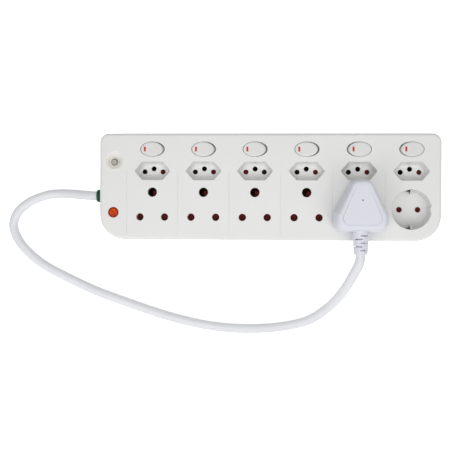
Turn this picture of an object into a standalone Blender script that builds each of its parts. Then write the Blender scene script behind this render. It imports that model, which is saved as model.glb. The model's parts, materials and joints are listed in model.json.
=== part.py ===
"""A twelve-way power strip with its own plug in one of its sockets.

The housing lies on its back: X runs along the strip, Y from the sockets to the
switches, Z out of the socket face.  The origin is the middle of the flat back.
All sizes are in metres.
"""
import math

import bmesh
import bpy
import numpy as np
from mathutils import Matrix, Vector

# ---- Clearances -------------------------------------------------------------
GAP = 0.0003                    # between pieces that touch or rest on each other
FIT = 0.0003                    # round a pin, stub or neck in its hole
BEYOND = 0.0010                 # how far a cutter runs past what it cuts

# ---- Housing ----------------------------------------------------------------
HOUSING_LENGTH = 0.3484
HOUSING_WIDTH = 0.1092
HOUSING_DEPTH = 0.0420
FRONT_RADIUS = 0.0260           # corners beside the sockets
REAR_RADIUS = 0.0090            # corners beside the switches
FACE_FILLET = 0.0030
COVER_WALL = 0.0024
BASE_FLOOR = 0.0024
BASE_WALL = 0.0022
PARTING_HEIGHT = 0.0120         # where base and cover meet
GROOVE_WIDTH = 0.0007
GROOVE_DEPTH = 0.0004
GROOVE_REAR = 0.0157            # far end of the grooves, beside the six-sided sockets
BASE_CHAMFER = 0.0010

# ---- Columns of switches and sockets ----------------------------------------
COLUMNS = 6
COLUMN_PITCH = 0.05272
COLUMNS_CENTRE = 0.01226        # middle of the row of columns along X
SWITCH_ROW = 0.0384
SMALL_ROW = 0.0157              # live and neutral holes of the six-sided sockets
LARGE_EARTH_ROW = -0.00575
LARGE_PIN_ROW = -0.0313
WELL_ROW = -0.02255             # middle of the round recessed socket
PLUGGED_COLUMN = 5              # this socket holds the strip's own plug
WELL_COLUMN = 6                 # this column has the recessed round socket

# ---- Large three-pin sockets ------------------------------------------------
LARGE_PIN_OFFSET = 0.0127
LARGE_PIN_RADIUS = 0.0035
LARGE_PIN_REACH = 0.0190
LARGE_EARTH_RADIUS = 0.00435
LARGE_EARTH_REACH = 0.0286
LARGE_HOLE_PLAY = 0.00025       # hole radius less pin radius
LARGE_EARTH_HOLE_PLAY = 0.00045
COLLAR_WALL = 0.0013
COLLAR_LENGTH = 0.0060

# ---- Six-sided recessed sockets ---------------------------------------------
HEX_WIDTH = 0.0368              # corner to corner
HEX_HEIGHT = 0.0187
HEX_FLAT = 0.0210
HEX_DEPTH = 0.0121
HEX_DRAFT = 0.0022              # how far the walls lean in by the floor
HEX_CORNER = 0.0016
HEX_OFFSET = 0.0005             # recess centre above its pin line
SMALL_PIN_OFFSET = 0.0095
SMALL_HOLE_RADIUS = 0.0026
SMALL_EARTH_RISE = 0.0032
RECESS_WALL = 0.0018

# ---- Round recessed socket --------------------------------------------------
WELL_RADIUS = 0.02015
WELL_DEPTH = 0.0174
WELL_DRAFT = 0.0010
WELL_HOLE_RADIUS = 0.0029
RIB_WIDTH = 0.0052
RIB_REACH = 0.0024
CLIP_WIDTH = 0.0040
CLIP_THICKNESS = 0.0009
CLIP_RADIUS = 0.0188            # inner face of the earth clip's arms
CLIP_BULGE = 0.0034             # how far the arms spring inwards
CLIP_BULGE_DEPTH = 0.0090       # below the socket face
CLIP_TOP = 0.0022
CLIP_RISE = 0.0004              # above the earth bar

# ---- Rocker switches --------------------------------------------------------
OPENING_LENGTH = 0.0252
OPENING_WIDTH = 0.0154
ROCKER_END_PLAY = 0.0011
ROCKER_SIDE_PLAY = 0.0004
ROCKER_TILT = math.radians(7.0)
ROCKER_PROUD = 0.0009
ROCKER_HEIGHT = 0.0098
ROCKER_EDGE = 0.0008
ROCKER_STUB_RADIUS = 0.0012
ROCKER_STUB_GRIP = 0.6          # share of the collar wall that a stub fills
PIVOT_BELOW_FACE = 0.0072
OPENING_WALL = 0.0016
OPENING_COLLAR = 0.0095
SWITCH_LENGTH = 0.0220
SWITCH_WIDTH = 0.0130
SWITCH_TOP_DEPTH = 0.0114       # below the socket face
SWITCH_BOTTOM = 0.0140
SWITCH_CHAMFER = 0.0006
PILLAR_SETBACK = 0.0020         # how far a pillar stands inside what it carries
LEFT_END_DOWN = (1, 2, 3, 4)    # rockers at rest with the marked end pressed

# ---- Contacts and bus bars --------------------------------------------------
STRIP = 0.0010
STRIP_WIDTH = 0.0040
SLEEVE_WALL = 0.0009
EARTH_LEVEL = 0.0090            # underside of each layer of strips
NEUTRAL_LEVEL = 0.0140
LIVE_LEVEL = 0.0188
WELL_LIVE_LEVEL = 0.0165
NEUTRAL_BAR_ROW = -0.0195
EARTH_BAR_ROW = 0.0055
LARGE_SLEEVE_DROP = 0.0017      # below the shutter
SMALL_SLEEVE_DROP = 0.0012
LARGE_EARTH_SLEEVE_DEPTH = 0.0130   # below the socket face
FEED_ROW = 0.0485
FEED_LOW = 0.0190
FEED_HEIGHT = 0.0080
FEED_CLEARANCE = 0.0030         # from the breaker
TAB_RISE = 0.0020

# ---- Shutters ---------------------------------------------------------------
SHUTTER_THICKNESS = 0.0018
SHUTTER_CHAMFER = 0.0004
LEFT_SHUTTER_COLUMN = 3         # its small shutter is under the left hole
LARGE_SHUTTER_LENGTH = 0.0360
LARGE_SHUTTER_WIDTH = 0.0100
LARGE_SHUTTER_TRAVEL = 0.0090
LARGE_SHUTTER_ARM = 0.0052       # from the middle line towards the live side
LARGE_SHUTTER_TIP = 0.0012       # how far the arm reaches past the earth hole's middle
SMALL_SHUTTER_LENGTH = 0.0100
SMALL_SHUTTER_WIDTH = 0.0096
WELL_SHUTTER_LENGTH = 0.0270
WELL_SHUTTER_WIDTH = 0.0070

# ---- Overload breaker and lamp ----------------------------------------------
BREAKER_X = -0.1590
BREAKER_Y = 0.0251
DISH_RISE = 0.0018              # dish centre above the button
DISH_RADIUS = 0.0088
DISH_DEPTH = 0.0030
DISH_DRAFT = 0.0012
BUSH_RADIUS = 0.0036
BUSH_PROUD = 0.0014
BUTTON_RADIUS = 0.0026
BUTTON_PROUD = 0.0032           # above the dish floor
BUTTON_LENGTH = 0.0120
NUT_RADIUS = 0.0050
NUT_HEIGHT = 0.0011
BREAKER_LENGTH = 0.0160
BREAKER_WIDTH = 0.0270
BREAKER_BOTTOM = 0.0080
BREAKER_TOP_DEPTH = 0.0070      # below the socket face
BUTTON_SPACE = 0.0035           # under the button, for its travel
BUTTON_CHAMFER = 0.0006
LAMP_X = -0.1599
LAMP_Y = -0.0267
LENS_RADIUS = 0.0051
LENS_DOME = 0.0007
LENS_FLANGE = 0.0012
LENS_LENGTH = 0.0060
LENS_WALL = 0.0012
BULB_RADIUS = 0.0026
BULB_LENGTH = 0.0140
BULB_GAP = 0.0015               # between bulb and lens

# ---- Cord, gland and clamp --------------------------------------------------
CORD_RADIUS = 0.0049
CORD_STEPS = 68
GLAND_Y = -0.0093
GLAND_Z = 0.0190
GLAND_WALL = 0.0008             # round the cord's hole
GLAND_FLARE = 0.0005            # how far the hole opens out at the mouth
GLAND_DOME_STEP = 0.0006        # dome radius over the neck
GLAND_PROUD = 0.0074
GLAND_FLANGE_STEP = 0.0015
GLAND_FLANGE_DEPTH = 0.0020
GLAND_TAIL = 0.0160
CLAMP_LENGTH = 0.0080
CLAMP_WIDTH = 0.0180
CLAMP_WALL = 0.0018             # over the cord
CORD_ROUTE = (
    (-0.1490, -0.0093, 0.0190),
    (-0.1650, -0.0093, 0.0190),
    (-0.1800, -0.0093, 0.0190),
    (-0.1880, -0.0091, 0.0182),
    (-0.1980, -0.0083, 0.0147),
    (-0.2090, -0.0074, 0.0098),
    (-0.2230, -0.0068, 0.0060),
    (-0.2390, -0.0082, 0.0050),
    (-0.2600, -0.0165, 0.0050),
    (-0.2730, -0.0285, 0.0050),
    (-0.2768, -0.0415, 0.0050),
    (-0.2716, -0.0565, 0.0050),
    (-0.2595, -0.0710, 0.0050),
    (-0.2420, -0.0845, 0.0050),
    (-0.2180, -0.0970, 0.0050),
    (-0.1860, -0.1115, 0.0050),
    (-0.1480, -0.1250, 0.0050),
    (-0.1100, -0.1372, 0.0050),
    (-0.0700, -0.1466, 0.0050),
    (-0.0300, -0.1505, 0.0050),
    (0.0100, -0.1485, 0.0050),
    (0.0370, -0.1430, 0.0050),
    (0.0460, -0.1392, 0.0051),
    (0.0538, -0.1344, 0.0066),
    (0.0620, -0.1275, 0.0107),
    (0.0687, -0.1198, 0.0180),
    (0.0738, -0.1117, 0.0288),
    (0.0780, -0.1030, 0.0420),
    (0.0820, -0.0945, 0.0500),
    (0.0858, -0.0860, 0.0549),
    (0.0896, -0.0780, 0.0574),
    (0.0911, -0.0722, 0.0580),
    (0.0913, -0.0685, 0.0580),
)

# ---- Plug -------------------------------------------------------------------
PLUG_HEIGHT = 0.0320
PLUG_SPLIT = 0.0120             # widest level, where base and cover meet
PLUG_HALF_WIDTH = 0.0273
PLUG_FRONT = -0.0458            # edge that the cord leaves
PLUG_SHOULDER = -0.0270
PLUG_APEX = 0.0075
PLUG_APEX_HALF = 0.0085
PLUG_CORNER = 0.0110
PLUG_DRAFT = 0.0016             # how far the base draws in towards the socket
PANEL_FRONT = -0.0378
PANEL_HALF_FRONT = 0.0155
PANEL_CORNER_Y = -0.0320
PANEL_HALF_WIDTH = 0.0193
PANEL_APEX = -0.0020
PANEL_APEX_HALF = 0.0060
PANEL_RISE = 0.0024
PANEL_MARGIN = 0.0012
PANEL_CORNER = 0.0055
PANEL_APEX_CORNER = 0.0030
PANEL_STEP = 0.0004
FLANK_RISE = 0.0045             # where the cover starts to close in above the split
FLANK_DRAFT = 0.0008
BASE_FLANK_RISE = 0.0040
BASE_FLANK_SHARE = 0.4          # of the draft left there
PLUG_WALL = 0.0026
PLUG_FLOOR = 0.0034
PIN_HEAD = 0.0070               # how far a pin stands above the plug's underside
PIN_TIP_LENGTH = 0.0012
PIN_TIP_DRAFT = 0.0010
PLUG_CORD_HEIGHT = 0.0160
BOOT_END = -0.0676
BOOT_RADIUS = 0.0077
BOOT_END_RADIUS = 0.0064
BOOT_NECK = 0.0056
BOOT_SLOT = 0.0013
BOOT_SLOTS = 5
BOOT_SLOT_START = -0.0489
BOOT_SLOT_PITCH = 0.0036
BOOT_SLOT_OVERLAP = 0.0008      # how far a slot runs past the middle line
BOOT_CORE = 0.0052              # radius that the slots leave whole
BOOT_SHOULDER = 0.0040
NOTCH_LENGTH = 0.0065           # of the boot's notch in from the plug's front
BOOT_CHAMFER = 0.0008
SCREW_Y = -0.0139
SCREW_RADIUS = 0.0013
SCREW_SINK = 0.0016
SCREW_HEAD = 0.0020             # height of the sunk screw's head
SCREW_HEAD_TAPER = 0.0004
SCREW_SHANK_SHARE = 0.75

# ---- Housing screws ---------------------------------------------------------
SCREW_COLUMNS = (1, 3, 5)       # screws stand between these columns and the next
SCREW_ROWS = (0.0400, -0.0455)
SCREW_HEAD_RADIUS = 0.0030
SCREW_HEAD_HEIGHT = 0.0020
SCREW_SHANK_RADIUS = 0.0015
SCREW_LENGTH = 0.0150
SCREW_POCKET = 0.0030
BOSS_WALL = 0.0019
POST_COLUMNS = (2, 4)           # a post of the cover stands on the floor to the right of these
POST_RADIUS = 0.0030
SCREW_TIP_LENGTH = 0.0020

# ---- Worked out from the sizes above ----------------------------------------
FACE = HOUSING_DEPTH
FACE_UNDERSIDE = FACE - COVER_WALL
PLUG_UNDERSIDE = FACE + GAP
PLUG_TOP = FACE + PLUG_HEIGHT
LARGE_HOLE_RADIUS = LARGE_PIN_RADIUS + LARGE_HOLE_PLAY
LARGE_EARTH_HOLE_RADIUS = LARGE_EARTH_RADIUS + LARGE_EARTH_HOLE_PLAY
GLAND_NECK = CORD_RADIUS + FIT + GLAND_WALL
GLAND_DOME = GLAND_NECK + GLAND_DOME_STEP
GLAND_FLANGE = GLAND_NECK + GLAND_FLANGE_STEP
CLAMP_TOP = GLAND_Z + CORD_RADIUS + FIT + CLAMP_WALL
SWITCH_TOP = FACE - SWITCH_TOP_DEPTH
BREAKER_TOP = FACE - BREAKER_TOP_DEPTH


def column_x(number):
    """Middle of a column, counted from 1 at the cord's end."""
    return COLUMNS_CENTRE + (number - (COLUMNS + 1) / 2) * COLUMN_PITCH


# ---- Scene, collections and materials ---------------------------------------
for leftover in list(bpy.data.objects):
    bpy.data.objects.remove(leftover, do_unlink=True)

parts = bpy.data.collections.new("power_strip")
cutters = bpy.data.collections.new("cutters")
bpy.context.scene.collection.children.link(parts)
bpy.context.scene.collection.children.link(cutters)


def finish(name, color, roughness, metallic=0.0):
    """A Principled material of one colour."""
    material = bpy.data.materials.new(name)
    material.use_nodes = True
    shader = material.node_tree.nodes["Principled BSDF"]
    shader.inputs["Base Color"].default_value = (*color, 1.0)
    shader.inputs["Roughness"].default_value = roughness
    shader.inputs["Metallic"].default_value = metallic
    return material


HOUSING_WHITE = finish("housing_white", (0.74, 0.74, 0.72), 0.38)
PLUG_WHITE = finish("plug_white", (0.68, 0.69, 0.74), 0.42)
CORD_WHITE = finish("cord_white", (0.70, 0.71, 0.74), 0.48)
SHUTTER_RED = finish("shutter_red", (0.22, 0.010, 0.016), 0.45)
SWITCH_GREY = finish("switch_grey", (0.10, 0.10, 0.11), 0.5)
LAMP_ORANGE = finish("lamp_orange", (0.75, 0.07, 0.01), 0.15)
BULB_GLASS = finish("bulb_glass", (0.85, 0.45, 0.30), 0.1)
GLAND_GREEN = finish("gland_green", (0.005, 0.06, 0.025), 0.4)
BRASS = finish("brass", (0.62, 0.42, 0.16), 0.3, 1.0)
STEEL = finish("steel", (0.55, 0.55, 0.56), 0.3, 1.0)
BUTTON_GREY = finish("button_grey", (0.42, 0.41, 0.37), 0.4)


# ---- Modelling helpers ------------------------------------------------------
def place(name, mesh, material=None):
    """An object for a mesh, among the parts, or among the cutters without a material."""
    thing = bpy.data.objects.new(name, mesh)
    if material is None:
        cutters.objects.link(thing)
        thing.hide_render = True
        thing.display_type = "WIRE"
        return thing
    mesh.materials.append(material)
    parts.objects.link(thing)
    return thing


def from_bmesh(name, shape, material=None):
    """A named object from a bmesh, which is freed."""
    mesh = bpy.data.meshes.new(name)
    bmesh.ops.recalc_face_normals(shape, faces=shape.faces)
    shape.to_mesh(mesh)
    shape.free()
    return place(name, mesh, material)


def box(name, low, high, material=None):
    """A box between two opposite corners."""
    low = Vector(low)
    high = Vector(high)
    size = Matrix.Diagonal((*(high - low), 1.0))
    shape = bmesh.new()
    bmesh.ops.create_cube(shape, size=1.0, matrix=Matrix.Translation((low + high) / 2) @ size)
    return from_bmesh(name, shape, material)


def rod(name, centre, radius, low, high, material=None, sides=16, along="Z", tip_radius=None):
    """A round bar from low to high along an axis, through a centre point given on it."""
    turn = {"Z": Matrix(), "X": Matrix.Rotation(math.pi / 2, 4, "Y"),
            "Y": Matrix.Rotation(-math.pi / 2, 4, "X")}[along]
    spot = Vector(centre)
    spot["XYZ".index(along)] = (low + high) / 2
    shape = bmesh.new()
    bmesh.ops.create_cone(shape, cap_ends=True, segments=sides, radius1=radius,
                          radius2=radius if tip_radius is None else tip_radius,
                          depth=high - low, matrix=Matrix.Translation(spot) @ turn)
    return from_bmesh(name, shape, material)


def drill(name, centre, radius, low, high, sides=12, along="Z"):
    """A faceted round bar whose flats, not its corners, stand at the radius."""
    return rod(name, centre, radius / math.cos(math.pi / sides), low, high, sides=sides, along=along)


def rounded(corners, steps=4):
    """Points round a convex polygon whose corners (x, y, radius) are turned into arcs."""
    points = []
    for index, (x, y, radius) in enumerate(corners):
        here = Vector((x, y))
        back = (Vector(corners[index - 1][:2]) - here).normalized()
        ahead = (Vector(corners[(index + 1) % len(corners)][:2]) - here).normalized()
        half = back.angle(ahead) / 2
        centre = here + (back + ahead).normalized() * (radius / math.sin(half))
        spoke = here + back * (radius / math.tan(half)) - centre
        for step in range(steps + 1):
            turned = Matrix.Rotation((math.pi - 2 * half) * step / steps, 2) @ spoke
            points.append(tuple(centre + turned))
    return points


def inset(corners, distance):
    """The same convex polygon with every side moved inwards and its arcs tightened."""
    moved = []
    for index, (x, y, radius) in enumerate(corners):
        here = Vector((x, y))
        side_in = (here - Vector(corners[index - 1][:2])).normalized()
        side_out = (Vector(corners[(index + 1) % len(corners)][:2]) - here).normalized()
        normal_in = Vector((-side_in.y, side_in.x))
        normal_out = Vector((-side_out.y, side_out.x))
        shift = (normal_in + normal_out) * (distance / (1 + normal_in.dot(normal_out)))
        moved.append((*(here + shift), max(radius - distance, 0.0004)))
    return moved


def shifted(corners, x, y):
    """The same polygon moved in its plane."""
    return [(cx + x, cy + y, radius) for cx, cy, radius in corners]


def ellipse(half_x, half_y, sides=20):
    """Points round an ellipse."""
    turns = [2 * math.pi * side / sides for side in range(sides)]
    return [(half_x * math.cos(turn), half_y * math.sin(turn)) for turn in turns]


def plate(name, outline, low, high, material=None, along="Z"):
    """A flat outline given thickness between two levels; along X the outline is (y, z)."""
    curve = bpy.data.curves.new(name, "CURVE")
    curve.dimensions = "2D"
    curve.fill_mode = "BOTH"
    curve.extrude = (high - low) / 2
    line = curve.splines.new("POLY")
    line.points.add(len(outline) - 1)
    for point, (x, y) in zip(line.points, outline):
        point.co = (x, y, 0.0, 1.0)
    line.use_cyclic_u = True
    drawn = bpy.data.objects.new(name + "_outline", curve)
    cutters.objects.link(drawn)
    bpy.context.view_layer.update()
    mesh = bpy.data.meshes.new_from_object(drawn.evaluated_get(bpy.context.evaluated_depsgraph_get()))
    bpy.data.objects.remove(drawn)
    shape = bmesh.new()
    shape.from_mesh(mesh)
    bpy.data.meshes.remove(mesh)
    bmesh.ops.remove_doubles(shape, verts=shape.verts, dist=0.000001)
    bmesh.ops.dissolve_limit(shape, angle_limit=math.radians(1.0), verts=shape.verts, edges=shape.edges)
    lift = Matrix.Translation((0.0, 0.0, (low + high) / 2))
    if along == "X":
        lift = Matrix(((0, 0, 1, 0), (1, 0, 0, 0), (0, 1, 0, 0), (0, 0, 0, 1))) @ lift
    shape.transform(lift)
    return from_bmesh(name, shape, material)


def loft(name, rings, material=None):
    """A solid through level outlines with equal numbers of points, lowest first."""
    shape = bmesh.new()
    levels = []
    for outline, height in rings:
        levels.append([shape.verts.new((x, y, height)) for x, y in outline])
    count = len(levels[0])
    for lower, upper in zip(levels, levels[1:]):
        for index in range(count):
            ahead = (index + 1) % count
            shape.faces.new((lower[index], lower[ahead], upper[ahead], upper[index]))
    shape.faces.new(list(reversed(levels[0])))
    shape.faces.new(levels[-1])
    return from_bmesh(name, shape, material)


def turned(name, profile, centre, material, sides=20, along="Z"):
    """A lathe-turned piece: a closed profile of (radius, height), outer side top to bottom."""
    mesh = bpy.data.meshes.new(name)
    points = [(radius, 0.0, height) for radius, height in profile]
    on_axis = abs(profile[0][0]) < 1e-9
    links = [(index, index + 1) for index in range(len(points) - 1)]
    if not on_axis:
        links.append((len(points) - 1, 0))
    mesh.from_pydata(points, links, [])
    thing = place(name, mesh, material)
    thing.location = centre
    if along == "-X":
        thing.rotation_euler = (0.0, -math.pi / 2, 0.0)
    if along == "-Y":
        thing.rotation_euler = (math.pi / 2, 0.0, 0.0)
    screw = thing.modifiers.new("turn", "SCREW")
    screw.steps = sides
    screw.render_steps = sides
    screw.axis = "Z"
    screw.use_merge_vertices = True
    screw.merge_threshold = 0.00001
    return thing


def group(name, pieces):
    """Cutters that don't touch each other, gathered in one."""
    shape = bmesh.new()
    for piece in pieces:
        shape.from_mesh(piece.data)
        bpy.data.objects.remove(piece)
    mesh = bpy.data.meshes.new(name)
    shape.to_mesh(mesh)
    shape.free()
    return place(name, mesh)


def boolean(thing, tool, operation):
    """A Boolean modifier with the exact solver."""
    modifier = thing.modifiers.new(operation.lower(), "BOOLEAN")
    modifier.operation = operation
    modifier.object = tool
    modifier.solver = "EXACT"


def cut(thing, tool):
    """Takes the tool's shape out of the piece."""
    boolean(thing, tool, "DIFFERENCE")


def add(thing, tool):
    """Makes the tool's shape part of the piece."""
    boolean(thing, tool, "UNION")


def round_edges(thing, width, segments=2, angle=40.0):
    """Bevels the edges that turn by more than an angle."""
    bevel = thing.modifiers.new("edges", "BEVEL")
    bevel.width = width
    bevel.segments = segments
    bevel.limit_method = "ANGLE"
    bevel.angle_limit = math.radians(angle)


# ---- Outlines ---------------------------------------------------------------
def housing_corners():
    """Corners of the housing's outline, from the cord end's front, counter-clockwise."""
    half_length = HOUSING_LENGTH / 2
    half_width = HOUSING_WIDTH / 2
    return [(-half_length, -half_width, FRONT_RADIUS), (half_length, -half_width, FRONT_RADIUS),
            (half_length, half_width, REAR_RADIUS), (-half_length, half_width, REAR_RADIUS)]


def hex_corners():
    """Corners of a six-sided recess at the face, round its own centre."""
    return [(-HEX_FLAT / 2, -HEX_HEIGHT / 2, HEX_CORNER), (HEX_FLAT / 2, -HEX_HEIGHT / 2, HEX_CORNER),
            (HEX_WIDTH / 2, 0.0, HEX_CORNER), (HEX_FLAT / 2, HEX_HEIGHT / 2, HEX_CORNER),
            (-HEX_FLAT / 2, HEX_HEIGHT / 2, HEX_CORNER), (-HEX_WIDTH / 2, 0.0, HEX_CORNER)]


def plug_corners():
    """Corners of the plug's widest outline, round the plug's middle line."""
    return [(-PLUG_HALF_WIDTH, PLUG_FRONT, PLUG_CORNER), (PLUG_HALF_WIDTH, PLUG_FRONT, PLUG_CORNER),
            (PLUG_HALF_WIDTH, PLUG_SHOULDER, PLUG_CORNER), (PLUG_APEX_HALF, PLUG_APEX, PLUG_APEX_HALF),
            (-PLUG_APEX_HALF, PLUG_APEX, PLUG_APEX_HALF), (-PLUG_HALF_WIDTH, PLUG_SHOULDER, PLUG_CORNER)]


def panel_corners(widen):
    """Corners of the raised panel on the plug's back, widened all round."""
    corners = [(-PANEL_HALF_FRONT, PANEL_FRONT, PANEL_CORNER),
               (PANEL_HALF_FRONT, PANEL_FRONT, PANEL_CORNER),
               (PANEL_HALF_WIDTH, PANEL_CORNER_Y, PANEL_CORNER),
               (PANEL_APEX_HALF, PANEL_APEX, PANEL_APEX_CORNER),
               (-PANEL_APEX_HALF, PANEL_APEX, PANEL_APEX_CORNER),
               (-PANEL_HALF_WIDTH, PANEL_CORNER_Y, PANEL_CORNER)]
    return inset(corners, -widen)


def well_outline(radius, rib_reach, sides=28):
    """A circle with a guide rib running into it on either side along X."""
    half_rib = RIB_WIDTH / 2
    half_turn = math.asin(half_rib / radius)
    points = []
    for side in (0, 1):
        start = math.pi * side
        for step in range(sides // 2 + 1):
            turn = start + half_turn + (math.pi - 2 * half_turn) * step / (sides // 2)
            points.append((radius * math.cos(turn), radius * math.sin(turn)))
        sign = -1 if side == 0 else 1
        across = radius * math.cos(half_turn) - rib_reach
        points.append((sign * across, -sign * half_rib))
        points.append((sign * across, sign * half_rib))
    return points


post_spots = [(column_x(number) + COLUMN_PITCH / 2, row) for number in POST_COLUMNS for row in SCREW_ROWS]
screw_spots = [(column_x(number) + COLUMN_PITCH / 2, row) for number in SCREW_COLUMNS for row in SCREW_ROWS]
columns = range(1, COLUMNS + 1)
large_columns = [number for number in columns if number != WELL_COLUMN]
hex_floor = FACE - HEX_DEPTH
well_floor = FACE - WELL_DEPTH
well_x = column_x(WELL_COLUMN)
dish_floor = FACE - DISH_DEPTH
breaker_hole = BUSH_RADIUS + FIT
large_shutter_top = FACE - COLLAR_LENGTH - GAP
small_shutter_top = hex_floor - RECESS_WALL - GAP
well_shutter_top = well_floor - RECESS_WALL - GAP
large_sleeve_top = large_shutter_top - SHUTTER_THICKNESS - LARGE_SLEEVE_DROP
small_sleeve_top = small_shutter_top - SHUTTER_THICKNESS - SMALL_SLEEVE_DROP
well_sleeve_top = well_shutter_top - SHUTTER_THICKNESS - SMALL_SLEEVE_DROP
large_earth_sleeve_top = FACE - LARGE_EARTH_SLEEVE_DEPTH


# ---- Top cover --------------------------------------------------------------
def make_top_cover():
    """The socket face and side walls, with its recesses, collars and bosses."""
    cover = plate("top_cover", rounded(housing_corners(), 5), PARTING_HEIGHT + GAP, FACE, HOUSING_WHITE)
    shape = bmesh.new()
    shape.from_mesh(cover.data)
    underside = [face for face in shape.faces if face.normal.z < -0.9]
    bmesh.ops.delete(shape, geom=underside, context="FACES_ONLY")
    shape.to_mesh(cover.data)
    shape.free()
    round_edges(cover, FACE_FILLET, 2)
    wall = cover.modifiers.new("wall", "SOLIDIFY")
    wall.thickness = COVER_WALL
    wall.offset = -1.0

    root = FACE - COVER_WALL / 2
    blocks = []
    for number in columns:
        x = column_x(number)
        outer = shifted(inset(hex_corners(), -RECESS_WALL), x, SMALL_ROW + HEX_OFFSET)
        lower = shifted(inset(hex_corners(), HEX_DRAFT - RECESS_WALL), x, SMALL_ROW + HEX_OFFSET)
        blocks.append(loft("hex_block", [(rounded(lower, 1), hex_floor - RECESS_WALL),
                                         (rounded(outer, 1), root)]))
        oval = ellipse(OPENING_LENGTH / 2 + OPENING_WALL, OPENING_WIDTH / 2 + OPENING_WALL)
        ring = [(x + px, SWITCH_ROW + py) for px, py in oval]
        blocks.append(plate("switch_block", ring, FACE - OPENING_COLLAR, root))
    for number in large_columns:
        x = column_x(number)
        collar = FACE - COLLAR_LENGTH
        for side in (-1, 1):
            spot = (x + side * LARGE_PIN_OFFSET, LARGE_PIN_ROW, 0.0)
            blocks.append(rod("collar", spot, LARGE_HOLE_RADIUS + COLLAR_WALL, collar, root, sides=12))
        spot = (x, LARGE_EARTH_ROW, 0.0)
        blocks.append(rod("collar", spot, LARGE_EARTH_HOLE_RADIUS + COLLAR_WALL, collar, root, sides=12))
    blocks.append(rod("well_block", (well_x, WELL_ROW, 0.0), WELL_RADIUS + RECESS_WALL,
                      well_floor - RECESS_WALL, root, sides=28))
    blocks.append(rod("dish_block", (BREAKER_X, BREAKER_Y + DISH_RISE, 0.0), DISH_RADIUS + RECESS_WALL,
                      dish_floor - RECESS_WALL, root, sides=20))
    for x, y in screw_spots:
        blocks.append(rod("boss", (x, y, 0.0), SCREW_SHANK_RADIUS + FIT + BOSS_WALL,
                          BASE_FLOOR + SCREW_POCKET + GAP, root, sides=10))
    for x, y in post_spots:
        blocks.append(rod("post", (x, y, 0.0), POST_RADIUS, BASE_FLOOR + GAP, root, sides=10))
    add(cover, group("cover_blocks", blocks))

    above = FACE + BEYOND
    hollows = []
    for number in columns:
        x = column_x(number)
        mouth = rounded(shifted(hex_corners(), x, SMALL_ROW + HEX_OFFSET), 1)
        floor = rounded(shifted(inset(hex_corners(), HEX_DRAFT), x, SMALL_ROW + HEX_OFFSET), 1)
        hollows.append(loft("hex_hollow", [(floor, hex_floor), (mouth, FACE), (mouth, above)]))
        oval = [(x + px, SWITCH_ROW + py) for px, py in ellipse(OPENING_LENGTH / 2, OPENING_WIDTH / 2)]
        hollows.append(plate("switch_opening", oval, FACE - OPENING_COLLAR - BEYOND, above))
    mouth = [(well_x + px, WELL_ROW + py) for px, py in well_outline(WELL_RADIUS, RIB_REACH)]
    floor = [(well_x + px, WELL_ROW + py) for px, py in well_outline(WELL_RADIUS - WELL_DRAFT, RIB_REACH)]
    hollows.append(loft("well_hollow", [(floor, well_floor), (mouth, FACE), (mouth, above)]))
    dish = (BREAKER_X, BREAKER_Y + DISH_RISE, 0.0)
    hollows.append(rod("dish_hollow", dish, DISH_RADIUS - DISH_DRAFT, dish_floor, above, sides=20,
                       tip_radius=DISH_RADIUS + DISH_DRAFT / 3))
    for number in large_columns:
        x = column_x(number)
        low = FACE - COLLAR_LENGTH - BEYOND
        for side in (-1, 1):
            spot = (x + side * LARGE_PIN_OFFSET, LARGE_PIN_ROW, 0.0)
            hollows.append(drill("pin_hole", spot, LARGE_HOLE_RADIUS, low, above, sides=14))
        spot = (x, LARGE_EARTH_ROW, 0.0)
        hollows.append(drill("pin_hole", spot, LARGE_EARTH_HOLE_RADIUS, low, above, sides=16))
    hollows.append(drill("lamp_hole", (LAMP_X, LAMP_Y, 0.0), LENS_RADIUS + FIT, FACE_UNDERSIDE - BEYOND,
                         above, sides=16))
    gland_spot = (0.0, GLAND_Y, GLAND_Z)
    wall_x = -HOUSING_LENGTH / 2
    hollows.append(drill("gland_hole", gland_spot, GLAND_NECK + FIT, wall_x - BEYOND,
                         wall_x + COVER_WALL + BEYOND, sides=16, along="X"))
    cut(cover, group("cover_hollows", hollows))

    drills = []
    for number in columns:
        x = column_x(number)
        low = hex_floor - 2 * RECESS_WALL
        high = hex_floor + RECESS_WALL
        for side in (-1, 1):
            spot = (x + side * SMALL_PIN_OFFSET, SMALL_ROW, 0.0)
            drills.append(drill("small_hole", spot, SMALL_HOLE_RADIUS, low, high, sides=10))
        spot = (x, SMALL_ROW + SMALL_EARTH_RISE, 0.0)
        drills.append(drill("small_hole", spot, SMALL_HOLE_RADIUS, low, high, sides=10))
        drills.append(drill("stub_hole", (x, 0.0, FACE - PIVOT_BELOW_FACE), ROCKER_STUB_RADIUS + FIT,
                            SWITCH_ROW - OPENING_WIDTH / 2 - 2 * OPENING_WALL,
                            SWITCH_ROW + OPENING_WIDTH / 2 + 2 * OPENING_WALL, sides=8, along="Y"))
    for side in (-1, 1):
        spot = (well_x + side * SMALL_PIN_OFFSET, WELL_ROW, 0.0)
        drills.append(drill("well_hole", spot, WELL_HOLE_RADIUS, well_floor - 2 * RECESS_WALL,
                            well_floor + RECESS_WALL, sides=12))
        near = WELL_ROW + side * (CLIP_RADIUS - GAP)
        far = WELL_ROW + side * (WELL_RADIUS + RECESS_WALL + BEYOND)
        half = CLIP_WIDTH / 2 + GAP
        drills.append(box("clip_slot", (well_x - half, min(near, far), well_floor - 2 * RECESS_WALL),
                          (well_x + half, max(near, far), FACE - CLIP_TOP + 2 * GAP)))
    drills.append(drill("bush_hole", (BREAKER_X, BREAKER_Y, 0.0), breaker_hole,
                        dish_floor - 2 * RECESS_WALL, dish_floor + RECESS_WALL, sides=16))
    boss_foot = BASE_FLOOR + SCREW_POCKET + GAP
    for x, y in screw_spots:
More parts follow.
